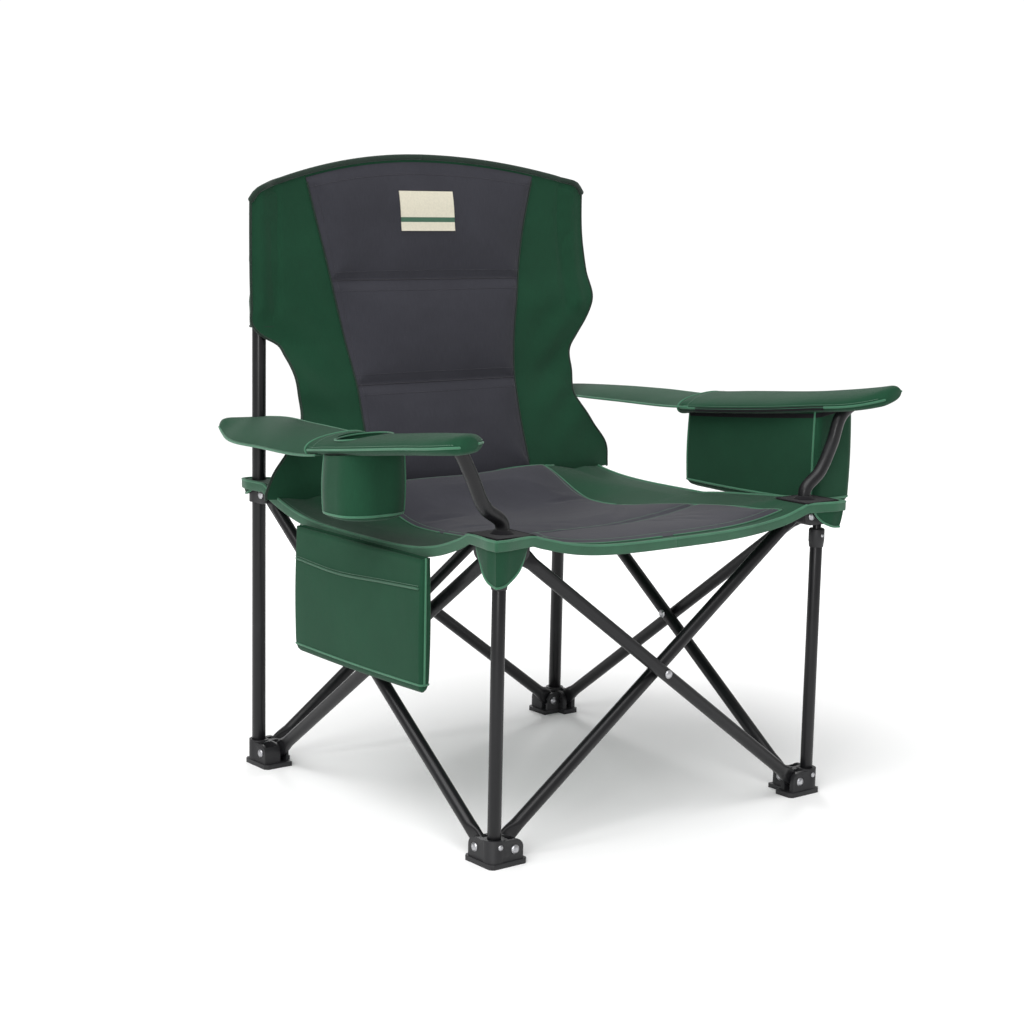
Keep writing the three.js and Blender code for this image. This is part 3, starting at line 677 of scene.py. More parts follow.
def cross_tube(name, place):
    """Round tube pressed flat and rounded over at both ends, along its own Z from its bottom pivot."""
    run = 2 * (SPAN - PIVOT_INSET)
    rise = HUB_PIVOT.z - FOOT_PIVOT.z
    length = math.hypot(run, rise)
    reach, flat_half, flat_thick = 11 * MM, 12 * MM, 5 * MM
    end = np.concatenate([
        -reach + reach * 0.55 * (1 - np.cos(np.linspace(0, math.pi / 2, 8))),
        np.linspace(-2, 42, 23) * MM,
    ])
    stations = np.unique(np.concatenate([end, length - end[::-1], np.linspace(42 * MM, length - 42 * MM, 9)]))
    rings = []
    for z in stations:
        inward = min(z, length - z)
        t = float(smooth(16 * MM, 38 * MM, inward))
        tip = math.sqrt(max(0.02, 1 - max(0.0, -inward / reach) ** 2.2))
        width = mix(flat_half, CROSS_RADIUS, t) * tip
        thick = mix(flat_thick, CROSS_RADIUS, t) * (0.75 + 0.25 * tip)
        x, y = squared_ring(full_turn(TUBE_SIDES), mix(3.4, 2.0, t), width, thick)
        rings.append(np.column_stack([x, y, np.full(TUBE_SIDES, z)]))
    rings = np.array(rings)
    moved = np.c_[rings.reshape(-1, 3), np.ones(rings.shape[0] * rings.shape[1])] @ np.array(place).T
    made = Piece(name)
    add_rings(made, moved[:, :3].reshape(rings.shape), TUBE_PAINT)
    return made.build(sharp=60)


def cross_tubes():
    run = 2 * (SPAN - PIVOT_INSET)
    lean = math.atan2(run, HUB_PIVOT.z - FOOT_PIVOT.z)
    for side, turn in (("front", 0), ("right", 90), ("rear", 180), ("left", -90)):
        spin = Matrix.Rotation(math.radians(turn), 4, "Z")
        inner = spin @ Matrix.Translation((-run / 2, -SPAN + INNER_OFFSET, FOOT_PIVOT.z))
        outer = spin @ Matrix.Translation((run / 2, -SPAN, FOOT_PIVOT.z))
        for kind, start, angle in (("inner", inner, lean), ("outer", outer, -lean)):
            node = f"tube_{side}_{kind}"
            made = cross_tube(f"steel_{node}", start @ Matrix.Rotation(angle, 4, "Y"))
            dress(made, f"{side}_{kind}_tube", "frame_metal", node)


# Route of each arm tube from its front hub's spigot, out and up to the armrest
ARM_ROUTES = {
    "left": [(-285.5, -285.5, 444.8), (-285.5, -285.5, 459.8), (-317, -289, 486), (-345, -294, 532),
             (-368, -298, 566), (-380, -300, 578)],
    "right": [(285.5, -285.5, 444.8), (285.5, -285.5, 459.8), (312, -289, 488), (333, -292, 530),
              (348, -295, 572), (378, -300, 594)],
}


def arm_tubes():
    for side, route in ARM_ROUTES.items():
        path = through(np.array(route) * MM, 60)[:56]
        made = Piece(f"steel_arm_tube_{side}")
        add_strip(made, path, 2 * ARM_RADIUS, 2 * ARM_RADIUS, TUBE_PAINT, up=(0, 1, 0), sides=TUBE_SIDES)
        dress(made.build(), f"front_{side}_hub", "frame_metal", f"arm_tube_{side}")


# ---------------------------------------------------------------- plastic castings and rivets

def dress(piece, body, slot, *nodes):
    """The calls that every finished piece ends with."""
    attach(piece, body)
    if nodes:
        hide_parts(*nodes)
    return piece


def casting(node, name):
    """The same casting with its edges broken, as a moulded part has them."""
    mesh = frame["nodes"][node].data.copy()
    work = bmesh.new()
    work.from_mesh(mesh)
    bmesh.ops.remove_doubles(work, verts=work.verts, dist=0.02 * MM)
    bmesh.ops.dissolve_limit(work, angle_limit=math.radians(1.5), verts=work.verts, edges=work.edges)
    work.to_mesh(mesh)
    work.free()
    mesh.materials.clear()
    mesh.materials.append(PLASTIC)
    source = placed(name, mesh)
    bevel = source.modifiers.new("broken_edges", "BEVEL")
    bevel.width = 0.9 * MM
    bevel.segments = 2
    bevel.limit_method = "ANGLE"
    bevel.angle_limit = math.radians(40)
    made = baked(source)
    made.polygons.foreach_set("use_smooth", [True] * len(made.polygons))
    made.set_sharp_from_angle(angle=math.radians(32))
    return source


def castings():
    for corner, (_, sy) in CORNERS.items():
        kind = "slider" if sy > 0 else "hub"
        for node, body in ((f"foot_{corner}", "stand"), (f"{kind}_{corner}", kind)):
            dress(casting(node, f"moulded_{node}"), f"{corner}_{body}", "black_plastic", node)


def node_heads(node):
    """Both head places of a CAD rivet, with their outward axes. A rivet's longest side is its axis."""
    half = half_size(node)
    axis = max(range(3), key=lambda i: half[i])
    heads = []
    for sign in (-1, 1):
        place, out = centre(node), Vector((0, 0, 0))
        place[axis] += sign * (half[axis] - HEAD_HEIGHT)
        out[axis] = sign
        heads.append((place, out))
    return heads


def rivets():
    groups = {}
    for node, thing in frame["nodes"].items():
        if node.startswith("rivet_"):
            groups.setdefault(thing["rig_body"], []).append(node)
    for body, nodes in groups.items():
        heads = [head for node in nodes for head in node_heads(node)]
        made = rivet_heads(f"rivet_heads_{body}", heads, HEAD_RADIUS, HEAD_HEIGHT)
        dress(made, body, "rivet_metal", *nodes)
    for corner, (sx, sy) in CORNERS.items():
        pins = [("post_rivets", SPAN + FOOT_BOSS_RADIUS - 0.2 * MM, FOOT_RIVET_LEVEL, 3.2 * MM, 1.4 * MM)]
        if sy < 0:
            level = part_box(f"collar_{corner}")[1].z - 10 * MM
            pins.append(("collar_rivet", SPAN + LEG_RADIUS + 2.3 * MM, level, 2.2 * MM, 0.9 * MM))
        for name, y, z, radius, height in pins:
            made = rivet_heads(f"{name}_{corner}", [((sx * SPAN, sy * y, z), (0, sy, 0))], radius, height)
            dress(made, f"{corner}_stand", "rivet_metal")


# ---------------------------------------------------------------- seat

SEAT_STEPS, PAD_CELLS = 56, 60
SEAT_MIDDLE_EDGE = 315 * MM
SEAT_EAR = {-1: 338 * MM, 1: 328 * MM}
SEAT_CORNER_ROUND = 34 * MM
JUNCTION_Y = 204 * MM
HUB_FLAT = 258 * MM
SEAT_CLOTH = 1.6 * MM
PAD_RISE = 8 * MM
SEAM_Y = -145 * MM
# Each row: y and half-width of the seat pad
PAD_EDGE = np.array([(-300, 226), (-145, 203), (20, 171), (60, 171), (203, 183)]) * MM
PAD_FRONT = -298 * MM
PAD_REAR = 203 * MM


def between(value):
    return 1 - np.minimum(1, np.abs(value) / HUB_FLAT) ** 3.5


def seat_height(x, y):
    """Top of the seat cloth: flat over each hub, hanging between them, and lowest behind its middle."""
    across, along = between(x), between(y)
    hollow = 16 * MM * across * hump(y, 40 * MM, 120 * MM)
    rise = 33 * MM * smooth(60 * MM, JUNCTION_Y, y) * across
    side = 42 * MM - 18 * MM * smooth(0, HUB_FLAT, x)
    level = HUB_TOP + 3 * MM - 27 * MM * across - side * along + 29 * MM * across * along
    return level - hollow + rise + corner_folds(x, y) + right_tension(x, y)


def right_tension(x, y):
    """The right side runs almost straight from its lowest point to the front corner."""
    taut = smooth(120 * MM, 290 * MM, x)
    line = 1 - np.abs((y + 150 * MM) / (110 * MM)) ** 2
    return 8 * MM * taut * np.maximum(0, line)


def corner_folds(x, y):
    """Shallow tension folds that fan out from the hubs into the cloth."""
    folds = 0.0
    for sx, sy in CORNERS.values():
        dx, dy = x - sx * SPAN, y - sy * SPAN
        far = np.hypot(dx, dy)
        angle = np.arctan2(-sy * dy, -sx * dx)
        fade = smooth(50 * MM, 95 * MM, far) * np.exp(-far / (110 * MM))
        folds = folds + 3.2 * MM * fade * np.sin(9 * angle + 1.3 * sx + 0.7 * sy)
    return folds


def seat_plan(u, v):
    """Place in plan of a point of the seat cloth; u and v run from -1 to 1 across and along it."""
    rear = v > 0
    ear = np.where(rear, SEAT_EAR[1], SEAT_EAR[-1])
    reach = mix(SEAT_MIDDLE_EDGE, ear, np.abs(u) ** 6)
    reach = np.where(rear, mix(JUNCTION_Y, reach, smooth(0.62, 0.95, np.abs(u))), reach)
    y = v * reach
    x = u * mix(SEAT_MIDDLE_EDGE, ear, np.minimum(1, np.abs(y) / ear) ** 6)
    core = ear - SEAT_CORNER_ROUND
    over_x, over_y = np.maximum(np.abs(x) - core, 0), np.maximum(np.abs(y) - core, 0)
    pull = np.maximum(over_x, over_y) / np.maximum(np.hypot(over_x, over_y), 1e-9)
    both = (over_x > 0) & (over_y > 0)
    x = np.where(both, np.sign(x) * (core + over_x * pull), x)
    y = np.where(both, np.sign(y) * (core + over_y * pull), y)
    return x, y


def seat_points(u, v, lift=0.0):
    x, y = seat_plan(u, v)
    return np.stack([x, y, seat_height(x, y) + lift], -1)


def pad_grid(cells):
    """Grid of the seat pad in plan, with a row on its seam and one on the fold across the chair."""
    rows = np.unique(np.concatenate([
        np.linspace(PAD_FRONT, SEAM_Y, cells // 3 + 1),
        np.linspace(SEAM_Y, 0, cells // 3 + 1),
        np.linspace(0, PAD_REAR, cells // 2 + 1),
    ]))
    half = spline(PAD_EDGE, rows, 1)
    across = np.linspace(-1, 1, cells + 1)
    x = half[:, None] * across[None]
    y = np.repeat(rows[:, None], len(across), axis=1)
    inset = np.minimum(half[:, None] * (1 - np.abs(across))[None], np.minimum(y - PAD_FRONT, PAD_REAR - y))
    inset = np.minimum(inset, np.abs(y - SEAM_Y))
    return x, y, inset


def puffed(inset, reach):
    return 1 - np.exp(-np.maximum(inset, 0) / reach)


SWELL_STEPS = 20
SWELL = {
    "quality": 6, "mass": 0.25, "vertex_group_mass": "held",
    "use_pressure": True, "uniform_pressure_force": 3.0,
    "tension_stiffness": 18, "compression_stiffness": 18, "shear_stiffness": 6, "bending_stiffness": 0.6,
}


def inflate(name, top, bottom, held, cap):
    """Lets a closed pad swell under pressure as cloth, by cap at most, and gives its top. Held points stay."""
    piece = Piece(name)
    add_slab(piece, top, bottom, GREY)
    body = piece.build()
    count = top.shape[0] * top.shape[1]
    group = body.vertex_groups.new(name="held")
    fixed = np.flatnonzero(held.ravel()).tolist() + list(range(count, 2 * count))
    group.add(fixed, 1.0, "REPLACE")
    modifier = body.modifiers.new("swell", "CLOTH")
    for key, value in SWELL.items():
        setattr(modifier.settings, key, value)
    modifier.settings.effector_weights.gravity = 0
    modifier.point_cache.frame_start = 1
    modifier.point_cache.frame_end = SWELL_STEPS
    scene = bpy.context.scene
    for step in range(1, SWELL_STEPS + 1):
        scene.frame_set(step)
    ready = body.evaluated_get(bpy.context.evaluated_depsgraph_get())
    moved = np.zeros(len(ready.data.vertices) * 3)
    ready.data.vertices.foreach_get("co", moved)
    moved = moved.reshape(-1, 3)[:count].reshape(top.shape)
    scene.frame_set(1)
    bpy.data.objects.remove(body)
    shift = moved - top
    far = np.linalg.norm(shift, axis=-1, keepdims=True)
    return top + shift * np.minimum(1, cap / np.maximum(far, 1e-9))


def seat_pad():
    """Top and underside of the whole padded panel, with its edges and seam sewn down."""
    x, y, inset = pad_grid(PAD_CELLS)
    base = seat_height(x, y)
    crown = puffed(inset, 11 * MM)
    near_seam = np.exp(-np.abs(y - SEAM_Y) / (14 * MM)) * puffed(inset, 3 * MM)
    ripple = 0.5 * MM * np.sin(x / (5.5 * MM)) * near_seam
    top = np.stack([x, y, base + 0.9 * MM + 0.75 * PAD_RISE * crown + ripple], -1)
    bottom = np.stack([x, y, base - 0.2 * MM], -1)
    top = inflate("seat_pad_form", top, bottom, inset < 1 * MM, 5 * MM)
    return doubled(top), doubled(bottom)


def side_of(middle, sign):
    """The rows or columns on one side of a middle one, which both sides keep."""
    return slice(0, middle + 1) if sign < 0 else slice(middle, None)


def seat():
    run = np.linspace(-1, 1, 2 * SEAT_STEPS + 1)
    u, v = np.meshgrid(run, run)
    cloth_top = seat_points(u, v)
    cloth_under = cloth_top - np.array([0, 0, SEAT_CLOTH])
    cloth_normals = grid_normals(cloth_top)
    cloth_coords = cloth_top[..., :2]
    pad_top, pad_under = seat_pad()
    pad_normals = grid_normals(pad_top)
    middle_row = int(np.argmin(np.abs(pad_under[:, 0, 1])))
    middle_column = pad_top.shape[1] // 2
    for corner, (sx, sy) in CORNERS.items():
        made = Piece(f"seat_{corner}_cloth")
        across, along = side_of(SEAT_STEPS, sx), side_of(SEAT_STEPS, sy)
        part = [grid[along, across] for grid in (cloth_top, cloth_under, cloth_coords, cloth_normals)]
        add_slab(made, part[0], part[1], GREEN, part[2], part[3])
        across, along = side_of(middle_column, sx), side_of(middle_row, sy)
        pad = [grid[along, across] for grid in (pad_top, pad_under, pad_normals)]
        add_slab(made, pad[0], pad[1], GREY, pad[0][..., :2], pad[2])
        rim = rim_line(sx, sy, 0.0 if sy < 0 else 0.6)
        add_strip(made, rim, 4.0 * MM, 4.0 * MM, PIPING, sides=10)
        add_strip(made, rim - np.array([0, 0, 6.5 * MM]), 3.0 * MM, 14 * MM, HEM_TAPE, power=4)
        pad_rim = outline_of(pad[0], pad[1], sx, sy)
        add_strip(made, pad_rim, 2.6 * MM, 2.6 * MM, PIPING, sides=8)
        piece = made.build()
        dress(piece, f"seat_{corner}_panel", "grey_fabric", f"seat_{corner}")
        rows = stitches(f"seat_{corner}_stitches", seat_stitch_lines(pad[0], pad[2], rim, sx, sy))
        dress(rows, f"seat_{corner}_panel", "green_fabric")
        for part in (piece, rows):
            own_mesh(part)


def rim_line(sx, sy, start, stop=0.0):
    """Edge of one quarter of the seat cloth, from its front or rear edge round the corner to its side."""
    across, along = np.linspace(start, 1, 70), np.linspace(1, stop, 70)
    end = seat_points(sx * across, sy * np.ones(70))
    side = seat_points(sx * np.ones(70), sy * along)
    return np.concatenate([end, side[1:]])


def outline_of(top, under, sx, sy):
    """The pad's sewn outer edge within one quarter, side and end together."""
    middle = (top + under) / 2
    side, end = middle[:, 0 if sx < 0 else -1], middle[0 if sy < 0 else -1]
    side = side[::-1] if sy < 0 else side
    end = end[::-1] if sx > 0 else end
    return np.concatenate([side[:-1], end[:-1]])[2:-2] + np.array([0, 0, 0.6 * MM])


def seat_stitch_lines(top, normals, rim, sx, sy):
    """Rows of stitches inside the pad's edge and beside its seam, and along the hems."""
    proud = top + normals * 0.2 * MM
    seam = int(np.argmin(np.abs(top[:, top.shape[1] // 2, 1] - SEAM_Y)))
    rows = (seam - 3, seam + 3, 3) if sy < 0 else (-4,)
    hem = rim[80:] - np.array([sx * 7 * MM, 0, -0.2 * MM])
    return [proud[2:-2, 3 if sx < 0 else -4], *(proud[row] for row in rows), hem]


# ---------------------------------------------------------------- corner patches, boots and ears of the seat

def corner_patches():
    for side, sx in SIDES.items():
        run = np.linspace(0, 1, 25)
        u, v = np.meshgrid(run, run)
        x = sx * mix(321 * MM, 256 * MM, u)
        y = -mix(321 * MM, 256 * MM, v)
        z = seat_height(x, y) + 1.0 * MM
        top, under = (np.stack([x, y, z + lift], -1) for lift in (0.8 * MM, -0.6 * MM))
        made = Piece(f"corner_patch_{side}")
        add_slab(made, top, under, WEBBING)
        edge = np.concatenate([top[0, :-1], top[:-1, -1], top[-1, :0:-1], top[:0:-1, 0], top[:1, 0]])
        add_strip(made, edge, 2.2 * MM, 1.8 * MM, WEBBING, sides=8)
        spot = np.array(ARM_ROUTES[side][0][:2]) * MM
        ring = ARM_RADIUS + 0.2 * MM
        level = HUB_TOP + 3.5 * MM
        gaiter = ((0, 0), (7, 0), (7.4, 1), (4, 3), (1.2, 6), (0, 6.2))
        profile = [(ring + out * MM, level + up * MM) for out, up in gaiter]
        add_rings(made, turned(profile, 32, (*spot, 0)), WEBBING, loop=True)
        dress(made.build(), f"front_{side}_hub", "black_plastic")


def hanging_corner(name, sx, sy, start, depth, body):
    """A pocket of cloth that hangs under a corner of the seat and hides its hub."""
    rim = rim_line(sx, sy, start, start)
    along = np.concatenate([[0], np.cumsum(np.linalg.norm(np.diff(rim, axis=0), axis=1))])
    along = (along / along[-1])[None]
    fall = np.linspace(0, 1, 19)[:, None]
    hub = np.array([sx * SPAN, sy * SPAN])
    shrink = 1 - 0.04 - 0.14 * fall**2 + 0.025 * fall * np.sin(21 * along + 2 * sx)
    plan = hub + (rim[None, :, :2] - hub) * shrink[..., None]
    hang = depth * np.abs(np.sin(math.pi * along)) ** 0.5
    z = rim[None, :, 2] - 2 * MM - hang * fall
    outer = np.concatenate([plan, z[..., None]], -1)
    middle = np.array([*hub, rim[:, 2].mean() - depth / 2])
    inner = outer + unit(middle - outer) * SEAT_CLOTH
    made = Piece(name)
    add_slab(made, outer, inner, GREEN)
    add_strip(made, outer[-1, 2:-2], 3.4 * MM, 3.4 * MM, PIPING, sides=10)
    return dress(made.build(), body, "green_fabric")


def corner_pockets():
    hanging_corner("corner_boot_left", -1, -1, 0.78, 60 * MM, "front_left_hub")
    hanging_corner("corner_boot_right", 1, -1, 0.80, 36 * MM, "front_right_hub")
    hanging_corner("corner_ear_left", -1, 1, 0.86, 20 * MM, "rear_left_slider")
    hanging_corner("corner_ear_right", 1, 1, 0.86, 20 * MM, "rear_right_slider")


# ---------------------------------------------------------------- back

BACK_CROWN = {-1: 58 * MM, 1: 40 * MM}
BACK_HALF = 322 * MM
# Each row: height, half-width and depth of the outer edge of a side wing, in mm; the left wing is -1
BACK_EDGES = {
    -1: [(438, 336, 224), (470, 322, 221), (515, 286, 224), (550, 264, 238), (581, 263, 246), (617, 265, 264),
         (638, 271, 274), (656, 280, 282), (668, 303, 286), (682, 318, 288), (710, 321, 289), (782, 323, 289),
         (943, 322, 290)],
    1: [(438, 338, 224), (470, 334, 224), (508, 309, 229), (540, 286, 236), (561, 276, 242), (592, 279, 256),
        (637, 285, 264), (656, 300, 266), (684, 320, 267), (714, 330, 266), (760, 328, 281), (800, 325, 288),
        (943, 320, 290)],
}
# Each row: height and depth of the back's middle, then height and half-width of its pad
BACK_MIDDLE = np.array([(447, 205), (520, 233), (590, 253), (750, 286), (910, 306), (943, 308)]) * MM
BACK_PAD = np.array([(447, 156), (590, 156), (750, 182), (943, 223)]) * MM
BACK_SEAMS = (590 * MM, 750 * MM)
BACK_LOW = 446 * MM


def back_top(x):
    """Level of the back's curved top, with its corners rounded over."""
    share = np.abs(x) / BACK_HALF
    rounded = 12 * MM * np.maximum(0, (share - 0.93) / 0.07) ** 2.4
    return BACK_TOP - np.where(x < 0, BACK_CROWN[-1], BACK_CROWN[1]) * share**2 - rounded


def back_foot(x):
    """The back's lower edge lies along the seat's rear seam."""
    y = mix(JUNCTION_Y, 222 * MM, (np.minimum(1, np.abs(x) / (330 * MM))) ** 3)
    return seat_height(np.clip(x, -310 * MM, 310 * MM), y) - 1.5 * MM


def wing_edge(x, z, column):
    """Half-width (1) or depth (2) of the side wing's outer edge, for the side that x is on."""
    left, right = (spline(np.array(BACK_EDGES[side], float) * MM, z, column) for side in (-1, 1))
    return np.where(x < 0, left, right)


def back_y(x, z):
    share = np.minimum(1, np.abs(x) / wing_edge(x, z, 1))
    sag = mix(spline(BACK_MIDDLE, z, 1), wing_edge(x, z, 2), share**2.2)
    return sag - 3 * MM + back_folds(x, z) - post_relief(x, z)


def post_relief(x, z):
    """The cloth stands a little proud where it passes over a post, with a furrow at the sleeve's seam."""
    proud = 4 * MM * hump(np.abs(x), 303 * MM, 10 * MM)
    furrow = 3 * MM * hump(np.abs(x), 279 * MM, 5 * MM)
    return smooth(684 * MM, 712 * MM, z) * (proud - furrow)


def back_folds(x, z):
    """Slack in the side wings: shallow folds that run down from the posts towards the waist."""
    out = smooth(160 * MM, 250 * MM, np.abs(x))
    slack = hump(z, 600 * MM, 110 * MM)
    return 2.6 * MM * out * slack * np.sin((z - 0.8 * np.abs(x)) / (13 * MM) + np.sign(x))


def back_cloth(columns, rows):
    u, v = np.meshgrid(np.linspace(-1, 1, columns + 1), np.linspace(0, 1, rows + 1))
    z = mix(back_foot(u * BACK_HALF), back_top(u * BACK_HALF), v)
    x = u * wing_edge(u, z, 1)
    return np.stack([x, back_y(x, z), z], -1)


def back_pad(cells):
    top_edge = BACK_TOP - 10 * MM
    rows = np.unique(np.concatenate([
        np.linspace(BACK_LOW, BACK_SEAMS[0], cells // 4 + 1),
        np.linspace(BACK_SEAMS[0], BACK_SEAMS[1], cells // 4 + 1),
        np.linspace(BACK_SEAMS[1], top_edge, cells // 3 + 1),
    ]))
    u = np.linspace(-1, 1, cells + 1)
    half = spline(BACK_PAD, rows, 1)
    x = half[:, None] * u[None]
    z = np.repeat(rows[:, None], len(u), axis=1)
    share = np.clip((z - BACK_SEAMS[1]) / (top_edge - BACK_SEAMS[1]), 0, 1)
    z = z - share * (BACK_TOP - back_top(x))
    low = np.clip((BACK_SEAMS[0] - z) / (BACK_SEAMS[0] - BACK_LOW), 0, 1)
    z = z + low * (back_foot(x) + 1 * MM - BACK_LOW)
    inset = np.minimum(half[:, None] * (1 - np.abs(u))[None], np.minimum(z - z[0], z[-1] - z))
    for seam in BACK_SEAMS:
        inset = np.minimum(inset, np.abs(rows - seam)[:, None] + 0 * z)
    y = back_y(x, z)
    crown = puffed(inset, 9 * MM)
    front = np.stack([x, y - 1.0 * MM - 7 * MM * crown, z], -1)
    rear = np.stack([x, y + 0.2 * MM, z], -1)
    front = inflate("back_pad_form", front, rear, inset < 1 * MM, 6 * MM)
    return doubled(front), doubled(rear)


def back():
    columns, rows = 96, 110
    face = back_cloth(columns, rows)
    behind = face + np.array([0, SEAT_CLOTH, 0])
    normals = grid_normals(face)
    pad, pad_rear = back_pad(PAD_CELLS)
    pad_normals = grid_normals(pad)
    middle = pad.shape[1] // 2
    level = pad[:, middle, 2]
    for side, sx in SIDES.items():
        made = Piece(f"back_{side}_cloth")
        cut, half, outer = side_of(columns // 2, sx), side_of(middle, sx), 0 if sx < 0 else -1
        add_slab(made, face[:, cut], behind[:, cut], GREEN, face[:, cut][..., [0, 2]], normals[:, cut])
        add_slab(made, pad[:, half], pad_rear[:, half], GREY, pad[:, half][..., [0, 2]], pad_normals[:, half])
        core = (face + behind) / 2
        add_strip(made, core[:, outer], 4 * MM, 4 * MM, DARK_TAPE, up=(0, 1, 0), sides=10)
        top = core[-1, cut] + np.array([0, -1 * MM, -2 * MM])
        add_strip(made, top, 7 * MM, 9 * MM, DARK_TAPE, sides=12, power=3)
        for seam in BACK_SEAMS:
            row = int(np.argmin(np.abs(level - seam)))
            line = pad[row, half] - np.array([0, 0.2 * MM, 0])
            add_strip(made, line, 1.8 * MM, 1.6 * MM, SEAM_TAPE, sides=6)
        pad_side = (pad[2:-2, outer] + pad_rear[2:-2, outer]) / 2 - np.array([0, 1.2 * MM, 0])
        add_strip(made, pad_side, 2.4 * MM, 2.4 * MM, DARK_TAPE, up=(0, 1, 0), sides=8)
        piece = made.build()
        ride_back(piece, side, f"back_{side}")
        back_trim(side, sx, pad[:, half], pad_normals[:, half])
        sleeve(side, sx)


def ride_back(piece, side, *nodes):
    """Half of the back goes with its post."""
    dress(piece, f"rear_{side}_stand", "grey_fabric", *nodes)
    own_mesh(piece)


def back_trim(side, sx, pad, normals):
    """Stitch rows of one half of the back, and its half of the woven label."""
    proud = pad + normals * 0.3 * MM
    lines = [proud[3:-3, 3 if sx < 0 else -4], proud[-5]]
    level = pad[:, 0 if sx > 0 else -1, 2]
    for seam in BACK_SEAMS:
        row = int(np.argmin(np.abs(level - seam)))
        lines += [proud[row - 3], proud[row + 3]]
    ride_back(stitches(f"back_{side}_stitches", lines, GREY_THREAD), side)
    inside = LABEL_WIDTH / 2
    columns = np.flatnonzero(np.abs(pad[-1, :, 0]) <= inside + 3 * MM)
    across, up = np.sort(np.linspace(0, 1, 21) * sx * inside), np.linspace(0, LABEL_HEIGHT, 15)
    x, z = np.meshgrid(across, up + LABEL_BOTTOM)
    y = surface_y(pad[:, columns], x, z)
    front, rear = (np.stack([x, y + lift, z], -1) for lift in (-1.5 * MM, 1.0 * MM))
    made = Piece(f"woven_label_{side}")
    add_slab(made, front, rear, LABEL, np.stack([x, z - LABEL_BOTTOM], -1), grid_normals(front))
    ride_back(made.build(), side)


def surface_y(grid, x, z):
    """Depth of a surface at places given across and up, from the nearest points of its grid."""
    known = grid.reshape(-1, 3)
    out = np.empty(x.shape)
    for index in np.ndindex(x.shape):
        away = (known[:, 0] - x[index]) ** 2 + (known[:, 2] - z[index]) ** 2
        near = np.argsort(away)[:4]
        weight = 1 / (away[near] + 1e-9)
        out[index] = float((known[near, 1] * weight).sum() / weight.sum())
    return out


def sleeve(side, sx):
    """Pocket of the side wing that slips over the top of its post, sewn to the wing along one line."""
    post = np.array([sx * SPAN, SPAN])
    radius, seam_x, lining = 14.2 * MM, sx * 268 * MM, 0.86
    roof = float(back_top(np.array(sx * SPAN))) - 6 * MM
    outer = []
    for share in np.linspace(0, 1, 34):
        z = mix(SLEEVE_BOTTOM, roof, share)
        seam = np.array([seam_x, float(back_y(np.array(seam_x), np.array(z))) + 2.4 * MM])
        wave = 1 + 0.05 * math.sin(18 * share + sx) + 0.03 * math.sin(41 * share)
        shut = math.sqrt(max(0.0, 1 - max(0.0, (share - 0.93) / 0.07) ** 2)) if share < 1 else 0.0
        middle = mix(seam, post, 0.6 + 0.4 * max(shut, 0.5))
        outer.append(teardrop(middle, seam, radius * wave * max(0.15, shut), z))
    outer = np.array(outer)
    inner = [mix(np.array([*post, ring[0, 2]]), ring, lining) for ring in outer[:26]]
    made = Piece(f"back_{side}_sleeve")
    add_rings(made, np.concatenate([inner[::-1], outer]), GREEN)
    hem = np.concatenate([outer[0], outer[0][:1]])
    add_strip(made, hem, 3.4 * MM, 3.4 * MM, DARK_TAPE, sides=8, dome=False)
    seam_line = outer[1:-3, 0] + np.array([0, -0.8 * MM, 0])
    add_strip(made, seam_line, 2.2 * MM, 2.2 * MM, DARK_TAPE, up=(0, 1, 0), sides=8)
    dress(made.build(), f"rear_{side}_stand", "green_fabric")


def teardrop(middle, seam, radius, z):
    """A ring that runs from the seam round a post and back: two straight flanks and an arc."""
    away = middle - seam
    reach = max(float(np.hypot(*away)), radius * 1.05)
    heading = math.atan2(away[1], away[0])
    open_angle = math.acos(radius / reach)
    arc = np.linspace(math.pi - open_angle, -(math.pi - open_angle), 27)
    ring = [middle + radius * np.array([math.cos(heading + a), math.sin(heading + a)]) for a in arc]
    flank = [mix(seam, ring[0], t) for t in (0.0, 0.25, 0.5, 0.75)]
    other = [mix(ring[-1], seam, t) for t in (0.25, 0.5, 0.75)]
    return np.array([[p[0], p[1], z] for p in (*flank, *ring, *other)])


# ---------------------------------------------------------------- armrests

# Each row: y, inner x, outer x, inner z and outer z of the top of the strip, in mm
ARM_SHAPES = {
    ("left", "front"): [
        (-324, 356, 386, 590, 586), (-312, 341, 394, 589, 585), (-290, 329, 400, 587, 582),
        (-220, 319, 403, 580, 574), (-84, 303, 403, 564, 557), (20, 300, 402, 558, 545),
    ],
    ("left", "rear"): [
        (-30, 303, 400, 556, 538), (6, 300, 400, 555, 533), (150, 297, 391, 556, 527),
        (262, 290, 377, 554, 525), (310, 301, 358, 549, 528), (346, 326, 344, 543, 535),
    ],
    ("right", "front"): [
        (-376, 352, 388, 615, 627), (-350, 336, 402, 607, 623), (-250, 312, 404, 593, 607),
        (-60, 302, 404, 573, 589), (20, 300, 402, 567, 580),
    ],
    ("right", "rear"): [
        (-30, 303, 400, 567, 580), (6, 300, 400, 564, 577), (150, 297, 391, 560, 575),
        (262, 290, 377, 559, 571), (310, 301, 358, 558, 568), (346, 326, 344, 558, 562),
    ],
}
ARM_TIP = {"left": -324 * MM, "right": -376 * MM}
ARM_HALF = {"front": 12 * MM, "rear": 6 * MM}
ARM_SPLIT = 6 * MM
# Points round an armrest's section, and those at its outer edge, its top, its inner edge and its stitch
# rows, then the ring of the rear section that meets its post
ARM_SIDES = 44
ARM_TOP, ARM_INNER_EDGE = ARM_SIDES // 4, ARM_SIDES // 2
ARM_STITCHES = (2, ARM_INNER_EDGE - 2)
POST_RING = 55


